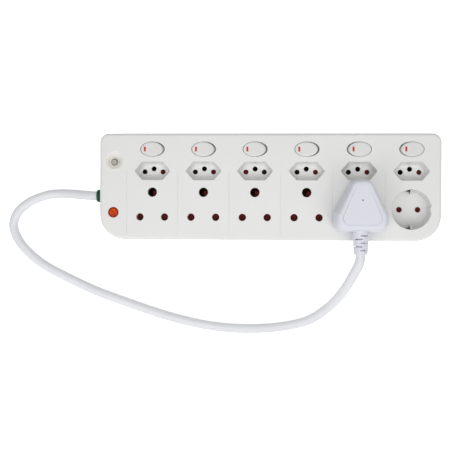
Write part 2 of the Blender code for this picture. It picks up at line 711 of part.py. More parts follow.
        drills.append(drill("screw_bore", (x, y, 0.0), SCREW_SHANK_RADIUS + FIT, boss_foot - BEYOND,
                            SCREW_LENGTH + SCREW_POCKET, sides=8))
    cut(cover, group("cover_drills", drills))

    grooves = []
    groove_front = FACE_FILLET + BEYOND - HOUSING_WIDTH / 2
    for number in columns:
        x = column_x(number) - COLUMN_PITCH / 2
        grooves.append(box("groove", (x - GROOVE_WIDTH / 2, groove_front, FACE - GROOVE_DEPTH),
                           (x + GROOVE_WIDTH / 2, GROOVE_REAR, above)))
    cut(cover, group("cover_grooves", grooves))


# ---- Base tray --------------------------------------------------------------
def make_base_tray():
    """The back of the housing, with pillars under the switches and breaker."""
    tray = plate("base_tray", rounded(housing_corners(), 5), 0.0, PARTING_HEIGHT, HOUSING_WHITE)
    shape = bmesh.new()
    shape.from_mesh(tray.data)
    top = [face for face in shape.faces if face.normal.z > 0.9]
    bmesh.ops.delete(shape, geom=top, context="FACES_ONLY")
    shape.to_mesh(tray.data)
    shape.free()
    round_edges(tray, BASE_CHAMFER, 1)
    wall = tray.modifiers.new("wall", "SOLIDIFY")
    wall.thickness = BASE_WALL
    wall.offset = -1.0

    root = BASE_FLOOR / 2
    blocks = []
    for number in columns:
        x = column_x(number)
        half_length = SWITCH_LENGTH / 2 - PILLAR_SETBACK
        half_width = SWITCH_WIDTH / 2 - PILLAR_SETBACK
        blocks.append(box("pillar", (x - half_length, SWITCH_ROW - half_width, root),
                          (x + half_length, SWITCH_ROW + half_width, SWITCH_BOTTOM - GAP)))
    half_length = BREAKER_LENGTH / 2 - PILLAR_SETBACK
    half_width = BREAKER_WIDTH / 2 - PILLAR_SETBACK
    blocks.append(box("pillar", (BREAKER_X - half_length, BREAKER_Y - half_width, root),
                      (BREAKER_X + half_length, BREAKER_Y + half_width, BREAKER_BOTTOM - GAP)))
    for x, y in screw_spots:
        blocks.append(rod("seat", (x, y, 0.0), SCREW_HEAD_RADIUS + FIT + BOSS_WALL, root,
                          BASE_FLOOR + SCREW_POCKET, sides=12))
    add(tray, group("base_blocks", blocks))

    pockets = []
    for x, y in screw_spots:
        pockets.append(drill("pocket", (x, y, 0.0), SCREW_HEAD_RADIUS + FIT, -BEYOND, SCREW_POCKET, sides=12))
    cut(tray, group("base_pockets", pockets))
    drills = []
    for x, y in screw_spots:
        drills.append(drill("drill", (x, y, 0.0), SCREW_SHANK_RADIUS + FIT, SCREW_POCKET - BEYOND,
                            BASE_FLOOR + SCREW_POCKET + BEYOND, sides=8))
    cut(tray, group("base_drills", drills))


def make_housing_screws():
    """Six screws from the back into the cover's bosses."""
    low = SCREW_POCKET - GAP - SCREW_HEAD_HEIGHT
    shoulder = SCREW_POCKET - GAP
    profile = [(0.0, SCREW_LENGTH), (SCREW_SHANK_RADIUS * 0.6, SCREW_LENGTH),
               (SCREW_SHANK_RADIUS, SCREW_LENGTH - SCREW_TIP_LENGTH), (SCREW_SHANK_RADIUS, shoulder),
               (SCREW_HEAD_RADIUS, shoulder), (SCREW_HEAD_RADIUS * 0.8, low), (0.0, low)]
    for index, (x, y) in enumerate(screw_spots):
        turned(f"housing_screw_{index + 1}", profile, (x, y, 0.0), STEEL, sides=10)


# ---- Rocker switches --------------------------------------------------------
def make_rockers():
    """Six rockers on stubs in their collars, each tilted as it was left."""
    half_length = OPENING_LENGTH / 2 - ROCKER_END_PLAY
    half_width = OPENING_WIDTH / 2 - ROCKER_SIDE_PLAY
    top = PIVOT_BELOW_FACE + ROCKER_PROUD
    stub = OPENING_WIDTH / 2 + OPENING_WALL * ROCKER_STUB_GRIP
    for number in columns:
        rocker = plate(f"rocker_{number}", ellipse(half_length, half_width), top - ROCKER_HEIGHT, top,
                       HOUSING_WHITE)
        round_edges(rocker, ROCKER_EDGE, 1)
        pivot = rod(f"stubs_{number}", (0.0, 0.0, 0.0), ROCKER_STUB_RADIUS, -stub, stub, sides=8, along="Y")
        add(rocker, pivot)
        rocker.location = (column_x(number), SWITCH_ROW, FACE - PIVOT_BELOW_FACE)
        tilt = -ROCKER_TILT if number in LEFT_END_DOWN else ROCKER_TILT
        rocker.rotation_euler = (0.0, tilt, 0.0)
        pivot.parent = rocker


def make_switch_bodies():
    """The contact modules under the rockers."""
    for number in columns:
        x = column_x(number)
        body = box(f"switch_body_{number}",
                   (x - SWITCH_LENGTH / 2, SWITCH_ROW - SWITCH_WIDTH / 2, SWITCH_BOTTOM),
                   (x + SWITCH_LENGTH / 2, SWITCH_ROW + SWITCH_WIDTH / 2, SWITCH_TOP), SWITCH_GREY)
        round_edges(body, SWITCH_CHAMFER, 1)


# ---- Contacts ---------------------------------------------------------------
def contact_piece(name, strips, sleeves):
    """Flat strips joined with pin sleeves (x, y, pin radius, low, high)."""
    body = strips[0]
    body.name = name
    body.data.materials.append(BRASS)
    cutters.objects.unlink(body)
    parts.objects.link(body)
    body.hide_render = False
    body.display_type = "TEXTURED"
    for strip in strips[1:]:
        add(body, strip)
    tubes = []
    bores = []
    for x, y, pin, low, high in sleeves:
        tubes.append(drill("sleeve", (x, y, 0.0), pin + FIT + SLEEVE_WALL, low + STRIP * 0.3, high, sides=10))
        bores.append(drill("bore", (x, y, 0.0), pin + FIT, low + STRIP * 1.3, high + BEYOND, sides=10))
    add(body, group(name + "_tubes", tubes))
    cut(body, group(name + "_bores", bores))


def strip_box(low, high, level, thickness=STRIP):
    """A flat strip between two plan corners on one level."""
    return box("strip", (*low, level), (*high, level + thickness))


def make_live_contacts():
    """Each column's switched live: from its switch to both of its sockets."""
    half = STRIP_WIDTH / 2
    switch_front = SWITCH_ROW - SWITCH_WIDTH / 2
    for number in columns:
        x = column_x(number)
        level = LIVE_LEVEL
        far_x = x + LARGE_PIN_OFFSET
        far_y = LARGE_PIN_ROW
        far_top = large_sleeve_top
        far_pin = LARGE_PIN_RADIUS
        if number == WELL_COLUMN:
            level = WELL_LIVE_LEVEL
            far_x = x + SMALL_PIN_OFFSET
            far_y = WELL_ROW
            far_top = well_sleeve_top
            far_pin = WELL_HOLE_RADIUS - FIT
        near_x = x + SMALL_PIN_OFFSET
        strips = [strip_box((far_x - half, far_y - half), (far_x + half, SMALL_ROW + half), level),
                  strip_box((near_x - half * 1.1, SMALL_ROW - half * 0.8),
                            (near_x + half * 0.9, switch_front - GAP), level + STRIP * 0.1, STRIP * 0.8)]
        sleeves = [(far_x, far_y, far_pin, level, far_top),
                   (near_x, SMALL_ROW, SMALL_HOLE_RADIUS - FIT, level, small_sleeve_top)]
        contact_piece(f"live_contact_{number}", strips, sleeves)


def make_neutral_bus():
    """One bar along the strip with a branch to each neutral hole."""
    half = STRIP_WIDTH / 2
    first = column_x(1) - LARGE_PIN_OFFSET - half
    last = column_x(WELL_COLUMN) - SMALL_PIN_OFFSET + half
    strips = [strip_box((first, NEUTRAL_BAR_ROW - half), (last, NEUTRAL_BAR_ROW + half), NEUTRAL_LEVEL)]
    sleeves = []
    branches = []
    for number in columns:
        x = column_x(number)
        near_x = x - SMALL_PIN_OFFSET
        far_x = x - LARGE_PIN_OFFSET
        far_y = LARGE_PIN_ROW
        far_top = large_sleeve_top
        far_pin = LARGE_PIN_RADIUS
        if number == WELL_COLUMN:
            far_x = near_x
            far_y = WELL_ROW
            far_top = well_sleeve_top
            far_pin = WELL_HOLE_RADIUS - FIT
        level = NEUTRAL_LEVEL + STRIP * 0.1
        branches.append(strip_box((near_x - half * 0.9, NEUTRAL_BAR_ROW + half * 0.5),
                                  (near_x + half * 0.9, SMALL_ROW + half), level, STRIP * 0.8))
        branches.append(strip_box((far_x - half * 0.9, far_y - half),
                                  (far_x + half * 0.9, NEUTRAL_BAR_ROW - half * 0.5), level, STRIP * 0.8))
        sleeves.append((near_x, SMALL_ROW, SMALL_HOLE_RADIUS - FIT, NEUTRAL_LEVEL, small_sleeve_top))
        sleeves.append((far_x, far_y, far_pin, NEUTRAL_LEVEL, far_top))
    strips.append(group("neutral_branches", branches))
    contact_piece("neutral_bus", strips, sleeves)


def make_earth_bus():
    """The lowest bar, with a sleeve under every earth hole."""
    half = STRIP_WIDTH / 2
    first = column_x(1) - half
    strips = [strip_box((first, EARTH_BAR_ROW - half), (column_x(WELL_COLUMN) + half, EARTH_BAR_ROW + half),
                        EARTH_LEVEL)]
    branches = []
    sleeves = []
    for number in columns:
        x = column_x(number)
        level = EARTH_LEVEL + STRIP * 0.1
        small_y = SMALL_ROW + SMALL_EARTH_RISE
        branches.append(strip_box((x - half * 0.9, EARTH_BAR_ROW + half * 0.5),
                                  (x + half * 0.9, small_y + half), level, STRIP * 0.8))
        sleeves.append((x, small_y, SMALL_HOLE_RADIUS - FIT, EARTH_LEVEL, small_sleeve_top))
        if number in large_columns:
            branches.append(strip_box((x - half * 0.9, LARGE_EARTH_ROW - half),
                                      (x + half * 0.9, EARTH_BAR_ROW - half * 0.5), level, STRIP * 0.8))
            sleeves.append((x, LARGE_EARTH_ROW, LARGE_EARTH_RADIUS, EARTH_LEVEL, large_earth_sleeve_top))
    strips.append(group("earth_branches", branches))
    contact_piece("earth_bus", strips, sleeves)


def make_live_feed():
    """The upright bar from the breaker past the backs of the switches."""
    last = column_x(COLUMNS) + SWITCH_LENGTH / 2
    start = BREAKER_X + BREAKER_LENGTH / 2 + FEED_CLEARANCE
    feed = box("live_feed", (start, FEED_ROW - STRIP / 2, FEED_LOW),
               (last, FEED_ROW + STRIP / 2, FEED_LOW + FEED_HEIGHT), BRASS)
    tabs = []
    for number in columns:
        x = column_x(number)
        tab_end = SWITCH_ROW + SWITCH_WIDTH / 2 + GAP
        tabs.append(box("tab", (x - STRIP_WIDTH / 2, tab_end, FEED_LOW + TAB_RISE),
                        (x + STRIP_WIDTH / 2, FEED_ROW, FEED_LOW + TAB_RISE + STRIP)))
    add(feed, group("feed_tabs", tabs))


def make_well_clip():
    """A bent strip whose two arms spring into the round socket from slots in its wall."""
    outer = CLIP_RADIUS + CLIP_THICKNESS
    top = FACE - CLIP_TOP
    level = EARTH_LEVEL + STRIP + CLIP_RISE
    bend = FACE - CLIP_BULGE_DEPTH
    foot = well_floor + GAP
    arm = [(outer, level), (outer, foot), (outer - CLIP_BULGE, bend), (outer, top), (CLIP_RADIUS, top),
           (CLIP_RADIUS - CLIP_BULGE, bend), (CLIP_RADIUS, foot), (CLIP_RADIUS, level + CLIP_THICKNESS)]
    outline = arm + [(-y, z) for y, z in reversed(arm)]
    moved = [(WELL_ROW + y, z) for y, z in outline]
    plate("well_earth_clip", moved, well_x - CLIP_WIDTH / 2, well_x + CLIP_WIDTH / 2, STEEL, along="X")


# ---- Shutters ---------------------------------------------------------------
def make_large_shutters():
    """Sliding plates behind the large sockets' lower holes; the plug holds one open."""
    high = large_shutter_top
    low = high - SHUTTER_THICKNESS
    for number in large_columns:
        shift = -LARGE_SHUTTER_TRAVEL if number == PLUGGED_COLUMN else 0.0
        x = column_x(number)
        y = LARGE_PIN_ROW + shift
        half_length = LARGE_SHUTTER_LENGTH / 2
        half_width = LARGE_SHUTTER_WIDTH / 2
        shutter = box(f"pin_shutter_{number}", (x - half_length, y - half_width, low),
                      (x + half_length, y + half_width, high), SHUTTER_RED)
        arm = box(f"arm_{number}", (x, y, low + GAP),
                  (x + LARGE_SHUTTER_ARM, LARGE_EARTH_ROW + LARGE_SHUTTER_TIP + shift, high - GAP))
        add(shutter, arm)


def make_small_shutters():
    """Sliding plates, each under one pin hole of a six-sided recess."""
    high = small_shutter_top
    y = SMALL_ROW + SMALL_EARTH_RISE / 2
    for number in columns:
        side = -1 if number == LEFT_SHUTTER_COLUMN else 1
        x = column_x(number) + side * SMALL_PIN_OFFSET
        shutter = box(f"hex_shutter_{number}",
                      (x - SMALL_SHUTTER_LENGTH / 2, y - SMALL_SHUTTER_WIDTH / 2, high - SHUTTER_THICKNESS),
                      (x + SMALL_SHUTTER_LENGTH / 2, y + SMALL_SHUTTER_WIDTH / 2, high), SHUTTER_RED)
        round_edges(shutter, SHUTTER_CHAMFER, 1)


def make_well_shutter():
    """The sliding plate under the round socket's floor."""
    high = well_shutter_top
    shutter = box("well_shutter",
                  (well_x - WELL_SHUTTER_LENGTH / 2, WELL_ROW - WELL_SHUTTER_WIDTH / 2,
                   high - SHUTTER_THICKNESS),
                  (well_x + WELL_SHUTTER_LENGTH / 2, WELL_ROW + WELL_SHUTTER_WIDTH / 2, high), SHUTTER_RED)
    round_edges(shutter, SHUTTER_CHAMFER, 1)


# ---- Overload breaker and lamp ----------------------------------------------
def make_breaker():
    """The breaker's body and threaded bush, its nut and its reset button."""
    body = box("overload_breaker",
               (BREAKER_X - BREAKER_LENGTH / 2, BREAKER_Y - BREAKER_WIDTH / 2, BREAKER_BOTTOM),
               (BREAKER_X + BREAKER_LENGTH / 2, BREAKER_Y + BREAKER_WIDTH / 2, BREAKER_TOP), SWITCH_GREY)
    spot = (BREAKER_X, BREAKER_Y, 0.0)
    add(body, rod("bush", spot, BUSH_RADIUS, BREAKER_TOP - BEYOND, dish_floor + BUSH_PROUD, sides=20))
    button_foot = dish_floor + BUTTON_PROUD - BUTTON_LENGTH
    cut(body, rod("bush_bore", spot, BUTTON_RADIUS + FIT, button_foot - BUTTON_SPACE, FACE, sides=20))
    turned("breaker_nut", [(BUSH_RADIUS + FIT, dish_floor + GAP + NUT_HEIGHT),
                           (NUT_RADIUS, dish_floor + GAP + NUT_HEIGHT), (NUT_RADIUS, dish_floor + GAP),
                           (BUSH_RADIUS + FIT, dish_floor + GAP)], spot, HOUSING_WHITE, sides=16)
    top = dish_floor + BUTTON_PROUD
    shoulder = BUTTON_LENGTH - BUTTON_CHAMFER
    profile = [(0.0, BUTTON_LENGTH), (BUTTON_RADIUS - BUTTON_CHAMFER, BUTTON_LENGTH),
               (BUTTON_RADIUS, shoulder), (BUTTON_RADIUS, 0.0), (0.0, 0.0)]
    turned("reset_button", profile,
           (BREAKER_X, BREAKER_Y, top - BUTTON_LENGTH), BUTTON_GREY, sides=16)


def make_lamp():
    """A domed orange lens, flanged behind the face, with a neon bulb behind it."""
    spot = (LAMP_X, LAMP_Y, 0.0)
    flange_top = FACE_UNDERSIDE - GAP
    foot = FACE - LENS_LENGTH
    inner = LENS_RADIUS - LENS_WALL
    turned("lamp_lens", [(0.0, FACE + LENS_DOME), (LENS_RADIUS * 0.6, FACE + LENS_DOME * 0.7),
                         (LENS_RADIUS, FACE - 0.0004), (LENS_RADIUS, flange_top),
                         (LENS_RADIUS + LENS_FLANGE, flange_top), (LENS_RADIUS + LENS_FLANGE, foot),
                         (inner, foot), (inner, FACE - LENS_WALL), (0.0, FACE - LENS_WALL * 0.7)],
           spot, LAMP_ORANGE, sides=16)
    top = FACE - LENS_WALL - BULB_GAP
    dome = [(BULB_RADIUS * math.sin(turn), top - BULB_RADIUS * (1 - math.cos(turn)))
            for turn in (0.0, math.pi / 6, math.pi / 3, math.pi / 2)]
    turned("neon_bulb", dome + [(BULB_RADIUS, top - BULB_LENGTH), (0.0, top - BULB_LENGTH)],
           spot, BULB_GLASS, sides=12)


# ---- Cord, gland and clamp --------------------------------------------------
def make_gland():
    """A dark bush through the end wall: dome outside, flange and taper inside."""
    bore = CORD_RADIUS + FIT
    wall = COVER_WALL + 2 * GAP
    profile = [(bore + GLAND_FLARE, GLAND_PROUD), (GLAND_NECK, GLAND_PROUD), (GLAND_DOME, GLAND_PROUD * 0.5),
               (GLAND_DOME, GAP), (GLAND_NECK, GAP), (GLAND_NECK, GAP - wall), (GLAND_FLANGE, GAP - wall),
               (GLAND_FLANGE, GAP - wall - GLAND_FLANGE_DEPTH), (GLAND_NECK, GAP - wall - GLAND_FLANGE_DEPTH),
               (bore + GLAND_WALL, -GLAND_TAIL), (bore, -GLAND_TAIL), (bore, 0.0)]
    turned("cord_gland", profile, (-HOUSING_LENGTH / 2, GLAND_Y, GLAND_Z), GLAND_GREEN, sides=16, along="-X")


def make_clamp():
    """A block on the base that grips the cord just inside the housing."""
    start = CORD_ROUTE[0][0] - GAP - CLAMP_LENGTH
    clamp = box("cord_clamp", (start, GLAND_Y - CLAMP_WIDTH / 2, BASE_FLOOR + GAP),
                (start + CLAMP_LENGTH, GLAND_Y + CLAMP_WIDTH / 2, CLAMP_TOP), SWITCH_GREY)
    cut(clamp, rod("clamp_bore", (0.0, GLAND_Y, GLAND_Z), CORD_RADIUS + FIT, start - BEYOND,
                   start + CLAMP_LENGTH + BEYOND, sides=16, along="X"))


def smooth_route(points, steps):
    """Evenly spaced points on a centripetal curve through the route's points."""
    knots = [Vector(point) for point in points]
    ends = [knots[0] * 2 - knots[1], *knots, knots[-1] * 2 - knots[-2]]
    fine = []
    for a, b, c, d in zip(ends, ends[1:], ends[2:], ends[3:]):
        t1 = (b - a).length ** 0.5
        t2 = t1 + (c - b).length ** 0.5
        t3 = t2 + (d - c).length ** 0.5
        for step in range(12):
            t = t1 + (t2 - t1) * step / 12
            ab = a * ((t1 - t) / t1) + b * (t / t1)
            bc = b * ((t2 - t) / (t2 - t1)) + c * ((t - t1) / (t2 - t1))
            cd = c * ((t3 - t) / (t3 - t2)) + d * ((t - t2) / (t3 - t2))
            abc = ab * ((t2 - t) / t2) + bc * (t / t2)
            bcd = bc * ((t3 - t) / (t3 - t1)) + cd * ((t - t1) / (t3 - t1))
            fine.append(abc * ((t2 - t) / (t2 - t1)) + bcd * ((t - t1) / (t2 - t1)))
    fine.append(knots[-1])
    line = np.array([tuple(point) for point in fine])
    reach = np.concatenate(([0.0], np.cumsum(np.linalg.norm(np.diff(line, axis=0), axis=1))))
    marks = np.linspace(0.0, reach[-1], steps)
    return [tuple(float(np.interp(mark, reach, line[:, axis])) for axis in range(3)) for mark in marks]


def make_cord():
    """The supply cord, from its clamp through the gland and round to the plug's boot."""
    curve = bpy.data.curves.new("supply_cord", "CURVE")
    curve.dimensions = "3D"
    curve.bevel_depth = CORD_RADIUS
    curve.bevel_resolution = 2
    curve.use_fill_caps = True
    route = smooth_route(CORD_ROUTE, CORD_STEPS)
    line = curve.splines.new("POLY")
    line.points.add(len(route) - 1)
    for point, spot in zip(line.points, route):
        point.co = (*spot, 1.0)
    curve.materials.append(CORD_WHITE)
    cord = bpy.data.objects.new("supply_cord", curve)
    parts.objects.link(cord)


# ---- Plug -------------------------------------------------------------------
def plug_ring(distance):
    """The plug's outline in place over its socket, drawn in by a distance."""
    return rounded(shifted(inset(plug_corners(), distance), column_x(PLUGGED_COLUMN), 0.0), 3)


def make_plug_base():
    """The lower half of the plug, a tray that holds the pins."""
    split = FACE + PLUG_SPLIT
    base = loft("plug_base", [(plug_ring(PLUG_DRAFT), PLUG_UNDERSIDE),
                              (plug_ring(PLUG_DRAFT * BASE_FLANK_SHARE), FACE + BASE_FLANK_RISE),
                              (plug_ring(0.0), split)], PLUG_WHITE)
    inner = plug_ring(PLUG_WALL)
    cut(base, loft("plug_base_hollow", [(plug_ring(PLUG_DRAFT + PLUG_WALL), PLUG_UNDERSIDE + PLUG_FLOOR),
                                        (inner, split), (inner, split + BEYOND)]))
    x = column_x(PLUGGED_COLUMN)
    high = PLUG_UNDERSIDE + PLUG_FLOOR + BEYOND
    drills = [rod("pin_drill", (x + side * LARGE_PIN_OFFSET, LARGE_PIN_ROW, 0.0), LARGE_PIN_RADIUS + FIT,
                  PLUG_UNDERSIDE - BEYOND, high, sides=16) for side in (-1, 1)]
    drills.append(rod("pin_drill", (x, LARGE_EARTH_ROW, 0.0), LARGE_EARTH_RADIUS + FIT,
                      PLUG_UNDERSIDE - BEYOND, high, sides=16))
    drills.append(rod("boot_notch", (x, 0.0, FACE + PLUG_CORD_HEIGHT), BOOT_NECK + FIT, PLUG_FRONT - BEYOND,
                      PLUG_FRONT + NOTCH_LENGTH, sides=20, along="Y"))
    cut(base, group("plug_base_drills", drills))


def make_plug_cover():
    """The upper half of the plug, rising to a flat raised panel."""
    x = column_x(PLUGGED_COLUMN)
    split = FACE + PLUG_SPLIT + GAP
    top = PLUG_TOP
    shoulder = top - PANEL_RISE
    margin = rounded(shifted(panel_corners(PANEL_MARGIN), x, 0.0), 3)
    panel = rounded(shifted(panel_corners(0.0), x, 0.0), 3)
    cover = loft("plug_cover", [(plug_ring(0.0), split), (plug_ring(FLANK_DRAFT), split + FLANK_RISE),
                                (margin, shoulder), (panel, shoulder + PANEL_STEP), (panel, top)], PLUG_WHITE)
    hollow_top = shoulder - PLUG_WALL
    inner = rounded(shifted(panel_corners(PANEL_MARGIN - PLUG_WALL), x, 0.0), 3)
    wall = plug_ring(PLUG_WALL)
    cut(cover, loft("plug_cover_hollow", [(wall, split - BEYOND), (wall, split),
                                          (plug_ring(PLUG_WALL + FLANK_DRAFT), split + FLANK_RISE),
                                          (inner, hollow_top)]))
    drills = [rod("boot_notch", (x, 0.0, FACE + PLUG_CORD_HEIGHT), BOOT_NECK + FIT, PLUG_FRONT - BEYOND,
                  PLUG_FRONT + NOTCH_LENGTH, sides=20, along="Y"),
              rod("screw_hole", (x, SCREW_Y, 0.0), SCREW_RADIUS + FIT, hollow_top - BEYOND, top + BEYOND,
                  sides=16)]
    cut(cover, group("plug_cover_drills", drills))


def make_plug_pins():
    """Three round pins with chamfered tips, their heads inside the plug."""
    x = column_x(PLUGGED_COLUMN)
    head = PLUG_UNDERSIDE + PIN_HEAD
    spots = {"plug_pin_neutral": (x - LARGE_PIN_OFFSET, LARGE_PIN_ROW, LARGE_PIN_RADIUS, LARGE_PIN_REACH),
             "plug_pin_live": (x + LARGE_PIN_OFFSET, LARGE_PIN_ROW, LARGE_PIN_RADIUS, LARGE_PIN_REACH),
             "plug_pin_earth": (x, LARGE_EARTH_ROW, LARGE_EARTH_RADIUS, LARGE_EARTH_REACH)}
    for name, (px, py, radius, reach) in spots.items():
        tip = FACE - reach
        profile = [(0.0, head), (radius, head), (radius, tip + PIN_TIP_LENGTH), (radius - PIN_TIP_DRAFT, tip),
                   (0.0, tip)]
        turned(name, profile, (px, py, 0.0), BRASS, sides=16)


def make_plug_screw():
    """The sunk screw that holds the plug together."""
    x = column_x(PLUGGED_COLUMN)
    top = PLUG_TOP - SCREW_SINK
    foot = PLUG_UNDERSIDE + PLUG_FLOOR + GAP
    shank = SCREW_RADIUS * SCREW_SHANK_SHARE
    turned("plug_screw", [(0.0, top), (SCREW_RADIUS, top), (SCREW_RADIUS, top - SCREW_HEAD),
                          (shank, top - SCREW_HEAD - SCREW_HEAD_TAPER), (shank, foot), (0.0, foot)],
           (x, SCREW_Y, 0.0), STEEL, sides=16)


def make_boot():
    """The plug's slotted strain relief, with a neck held between the plug's halves."""
    spot = (column_x(PLUGGED_COLUMN), 0.0, FACE + PLUG_CORD_HEIGHT)
    outside = -PLUG_FRONT + GAP
    end = -BOOT_END
    inside = -PLUG_FRONT - 2 * PLUG_WALL
    boot = turned("plug_boot", [(0.0, end), (BOOT_END_RADIUS - BOOT_CHAMFER, end),
                                (BOOT_END_RADIUS, end - BOOT_CHAMFER),
                                (BOOT_RADIUS, outside + BOOT_SHOULDER), (BOOT_RADIUS, outside),
                                (BOOT_NECK, outside), (BOOT_NECK, inside), (0.0, inside)],
                  spot, PLUG_WHITE, sides=16, along="-Y")
    slots = []
    for index in range(BOOT_SLOTS):
        side = 1 if index % 2 == 0 else -1
        y = BOOT_SLOT_START - index * BOOT_SLOT_PITCH
        near = spot[0] - side * BOOT_SLOT_OVERLAP
        far = spot[0] + side * (BOOT_RADIUS + BEYOND)
        slots.append(box("slot", (min(near, far), y - BOOT_SLOT / 2, spot[2] - BOOT_RADIUS - BEYOND),
                         (max(near, far), y + BOOT_SLOT / 2, spot[2] + BOOT_RADIUS + BEYOND)))
    tool = group("boot_slots", slots)
    cut(tool, rod("boot_core", spot, BOOT_CORE, BOOT_END - BEYOND, PLUG_FRONT, sides=16, along="Y"))
    cut(boot, tool)


make_top_cover()
make_base_tray()
make_housing_screws()
make_rockers()
make_switch_bodies()
make_live_contacts()
make_neutral_bus()
make_earth_bus()
make_live_feed()
make_well_clip()
make_large_shutters()
make_small_shutters()
make_well_shutter()
make_breaker()
make_lamp()
make_gland()
make_clamp()
make_cord()
make_plug_base()
make_plug_cover()
make_plug_pins()
make_plug_screw()
make_boot()
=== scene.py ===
import json
import math

import bpy
import numpy as np
from mathutils import Matrix, Vector

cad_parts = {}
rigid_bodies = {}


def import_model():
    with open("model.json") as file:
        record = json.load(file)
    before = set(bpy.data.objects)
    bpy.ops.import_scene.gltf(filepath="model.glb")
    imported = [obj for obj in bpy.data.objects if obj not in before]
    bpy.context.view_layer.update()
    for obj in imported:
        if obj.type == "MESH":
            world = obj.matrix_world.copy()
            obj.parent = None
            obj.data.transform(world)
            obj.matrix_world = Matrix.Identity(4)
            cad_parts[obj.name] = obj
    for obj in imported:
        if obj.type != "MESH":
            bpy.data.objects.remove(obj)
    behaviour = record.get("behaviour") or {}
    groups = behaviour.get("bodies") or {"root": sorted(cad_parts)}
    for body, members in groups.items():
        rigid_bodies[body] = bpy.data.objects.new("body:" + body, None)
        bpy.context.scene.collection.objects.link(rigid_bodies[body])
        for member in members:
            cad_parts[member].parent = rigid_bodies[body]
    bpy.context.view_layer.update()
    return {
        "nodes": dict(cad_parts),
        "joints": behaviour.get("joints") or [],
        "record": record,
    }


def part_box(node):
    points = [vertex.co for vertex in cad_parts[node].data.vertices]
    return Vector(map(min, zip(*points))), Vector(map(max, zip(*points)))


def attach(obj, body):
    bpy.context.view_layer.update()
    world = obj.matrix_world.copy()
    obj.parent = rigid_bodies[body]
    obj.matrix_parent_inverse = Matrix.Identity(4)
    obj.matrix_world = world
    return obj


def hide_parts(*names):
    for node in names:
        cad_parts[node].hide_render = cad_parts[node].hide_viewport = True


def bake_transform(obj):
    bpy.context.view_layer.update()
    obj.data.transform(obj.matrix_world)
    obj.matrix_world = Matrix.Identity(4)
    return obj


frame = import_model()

MM = 0.001

# ---- Places read from the model ---------------------------------------------
COLUMNS = range(1, 7)
LARGE_COLUMNS = range(1, 6)
JOINTS = {joint["name"]: joint for joint in frame["joints"]}


def middle(node):
    """Centre of a node's box."""
    low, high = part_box(node)
    return (low + high) / 2


COVER_LOW, COVER_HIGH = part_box("top_cover")
FACE = COVER_HIGH.z
PARTING = 12.3 * MM             # foot of the cover's wall
POST_FOOT = COVER_LOW.z
HALF_LENGTH = COVER_HIGH.x
HALF_WIDTH = COVER_HIGH.y
COLUMN_X = {number: middle(f"switch_body_{number}").x for number in COLUMNS}
PITCH = COLUMN_X[2] - COLUMN_X[1]
SWITCH_ROW = middle("switch_body_1").y
PIN_OFFSET = (middle("plug_pin_live").x - middle("plug_pin_neutral").x) / 2
PIN_ROW = middle("plug_pin_live").y
EARTH_ROW = middle("plug_pin_earth").y
PLUG_X = middle("plug_pin_earth").x
WELL_X = COLUMN_X[6]
WELL_Y = middle("well_earth_clip").y
BUTTON = middle("reset_button")
LAMP = middle("lamp_lens")
GLAND = middle("cord_gland")
SCREWS = [middle(f"housing_screw_{number}") for number in COLUMNS]

# ---- Sizes shared with the model --------------------------------------------
COVER_WALL = 2.4 * MM
FRONT_RADIUS = 26 * MM
REAR_RADIUS = 9 * MM
FACE_FILLET = 3 * MM
SMALL_ROW = 15.7 * MM
SMALL_OFFSET = 9.5 * MM
SMALL_EARTH_RISE = 3.2 * MM
SMALL_HOLE = 2.6 * MM
HEX_RISE = 0.5 * MM
HEX_DEPTH = 12.1 * MM
HEX_DRAFT = 2.2 * MM
HEX_COVE = 3.6 * MM
RECESS_WALL = 1.8 * MM
LARGE_HOLE = 3.75 * MM
LARGE_EARTH_HOLE = 4.8 * MM
COLLAR_WALL = 1.3 * MM
COLLAR_LENGTH = 6 * MM
WELL_RADIUS = 20.15 * MM
WELL_DEPTH = 17.4 * MM
WELL_DRAFT = 1.0 * MM
WELL_COVE = 1.2 * MM
WELL_HOLE = 2.9 * MM
RIB_HALF = 2.6 * MM
RIB_REACH = 1.0 * MM
HOLE_RIM = 0.4 * MM
OPENING_HALF = np.array((12.6, 7.7)) * MM
OPENING_WALL = 1.6 * MM
OPENING_COLLAR = 9.5 * MM
PIVOT_HOLE = 1.5 * MM
PIVOT_REACH = 10.9 * MM
DISH_RISE = 1.8 * MM
DISH_RADIUS = 8.8 * MM
DISH_DEPTH = 3.0 * MM
BUSH_HOLE = 3.9 * MM
LAMP_HOLE = 5.4 * MM
BOSS_RADIUS = 3.7 * MM
BOSS_FOOT = 5.7 * MM
SCREW_BORE = 1.8 * MM
POST_RADIUS = 3 * MM
CORD_RADIUS = 4.9 * MM
GLAND_BORE = CORD_RADIUS + 0.3 * MM
GLAND_NECK = GLAND_BORE + 0.8 * MM
GLAND_DOME = GLAND_NECK + 0.6 * MM
GLAND_FLANGE = GLAND_NECK + 1.5 * MM


# ---- Mesh tools -------------------------------------------------------------
def circle(radius, count=48):
    """Evenly spaced points round a circle, counter-clockwise."""
    turn = np.arange(count) * (2 * np.pi / count)
    return np.stack((np.cos(turn), np.sin(turn)), axis=1) * radius


def oval(half, count=64):
    """An ellipse: the circle's points stretched to two half sizes."""
    return circle(1.0, count) * np.asarray(half)


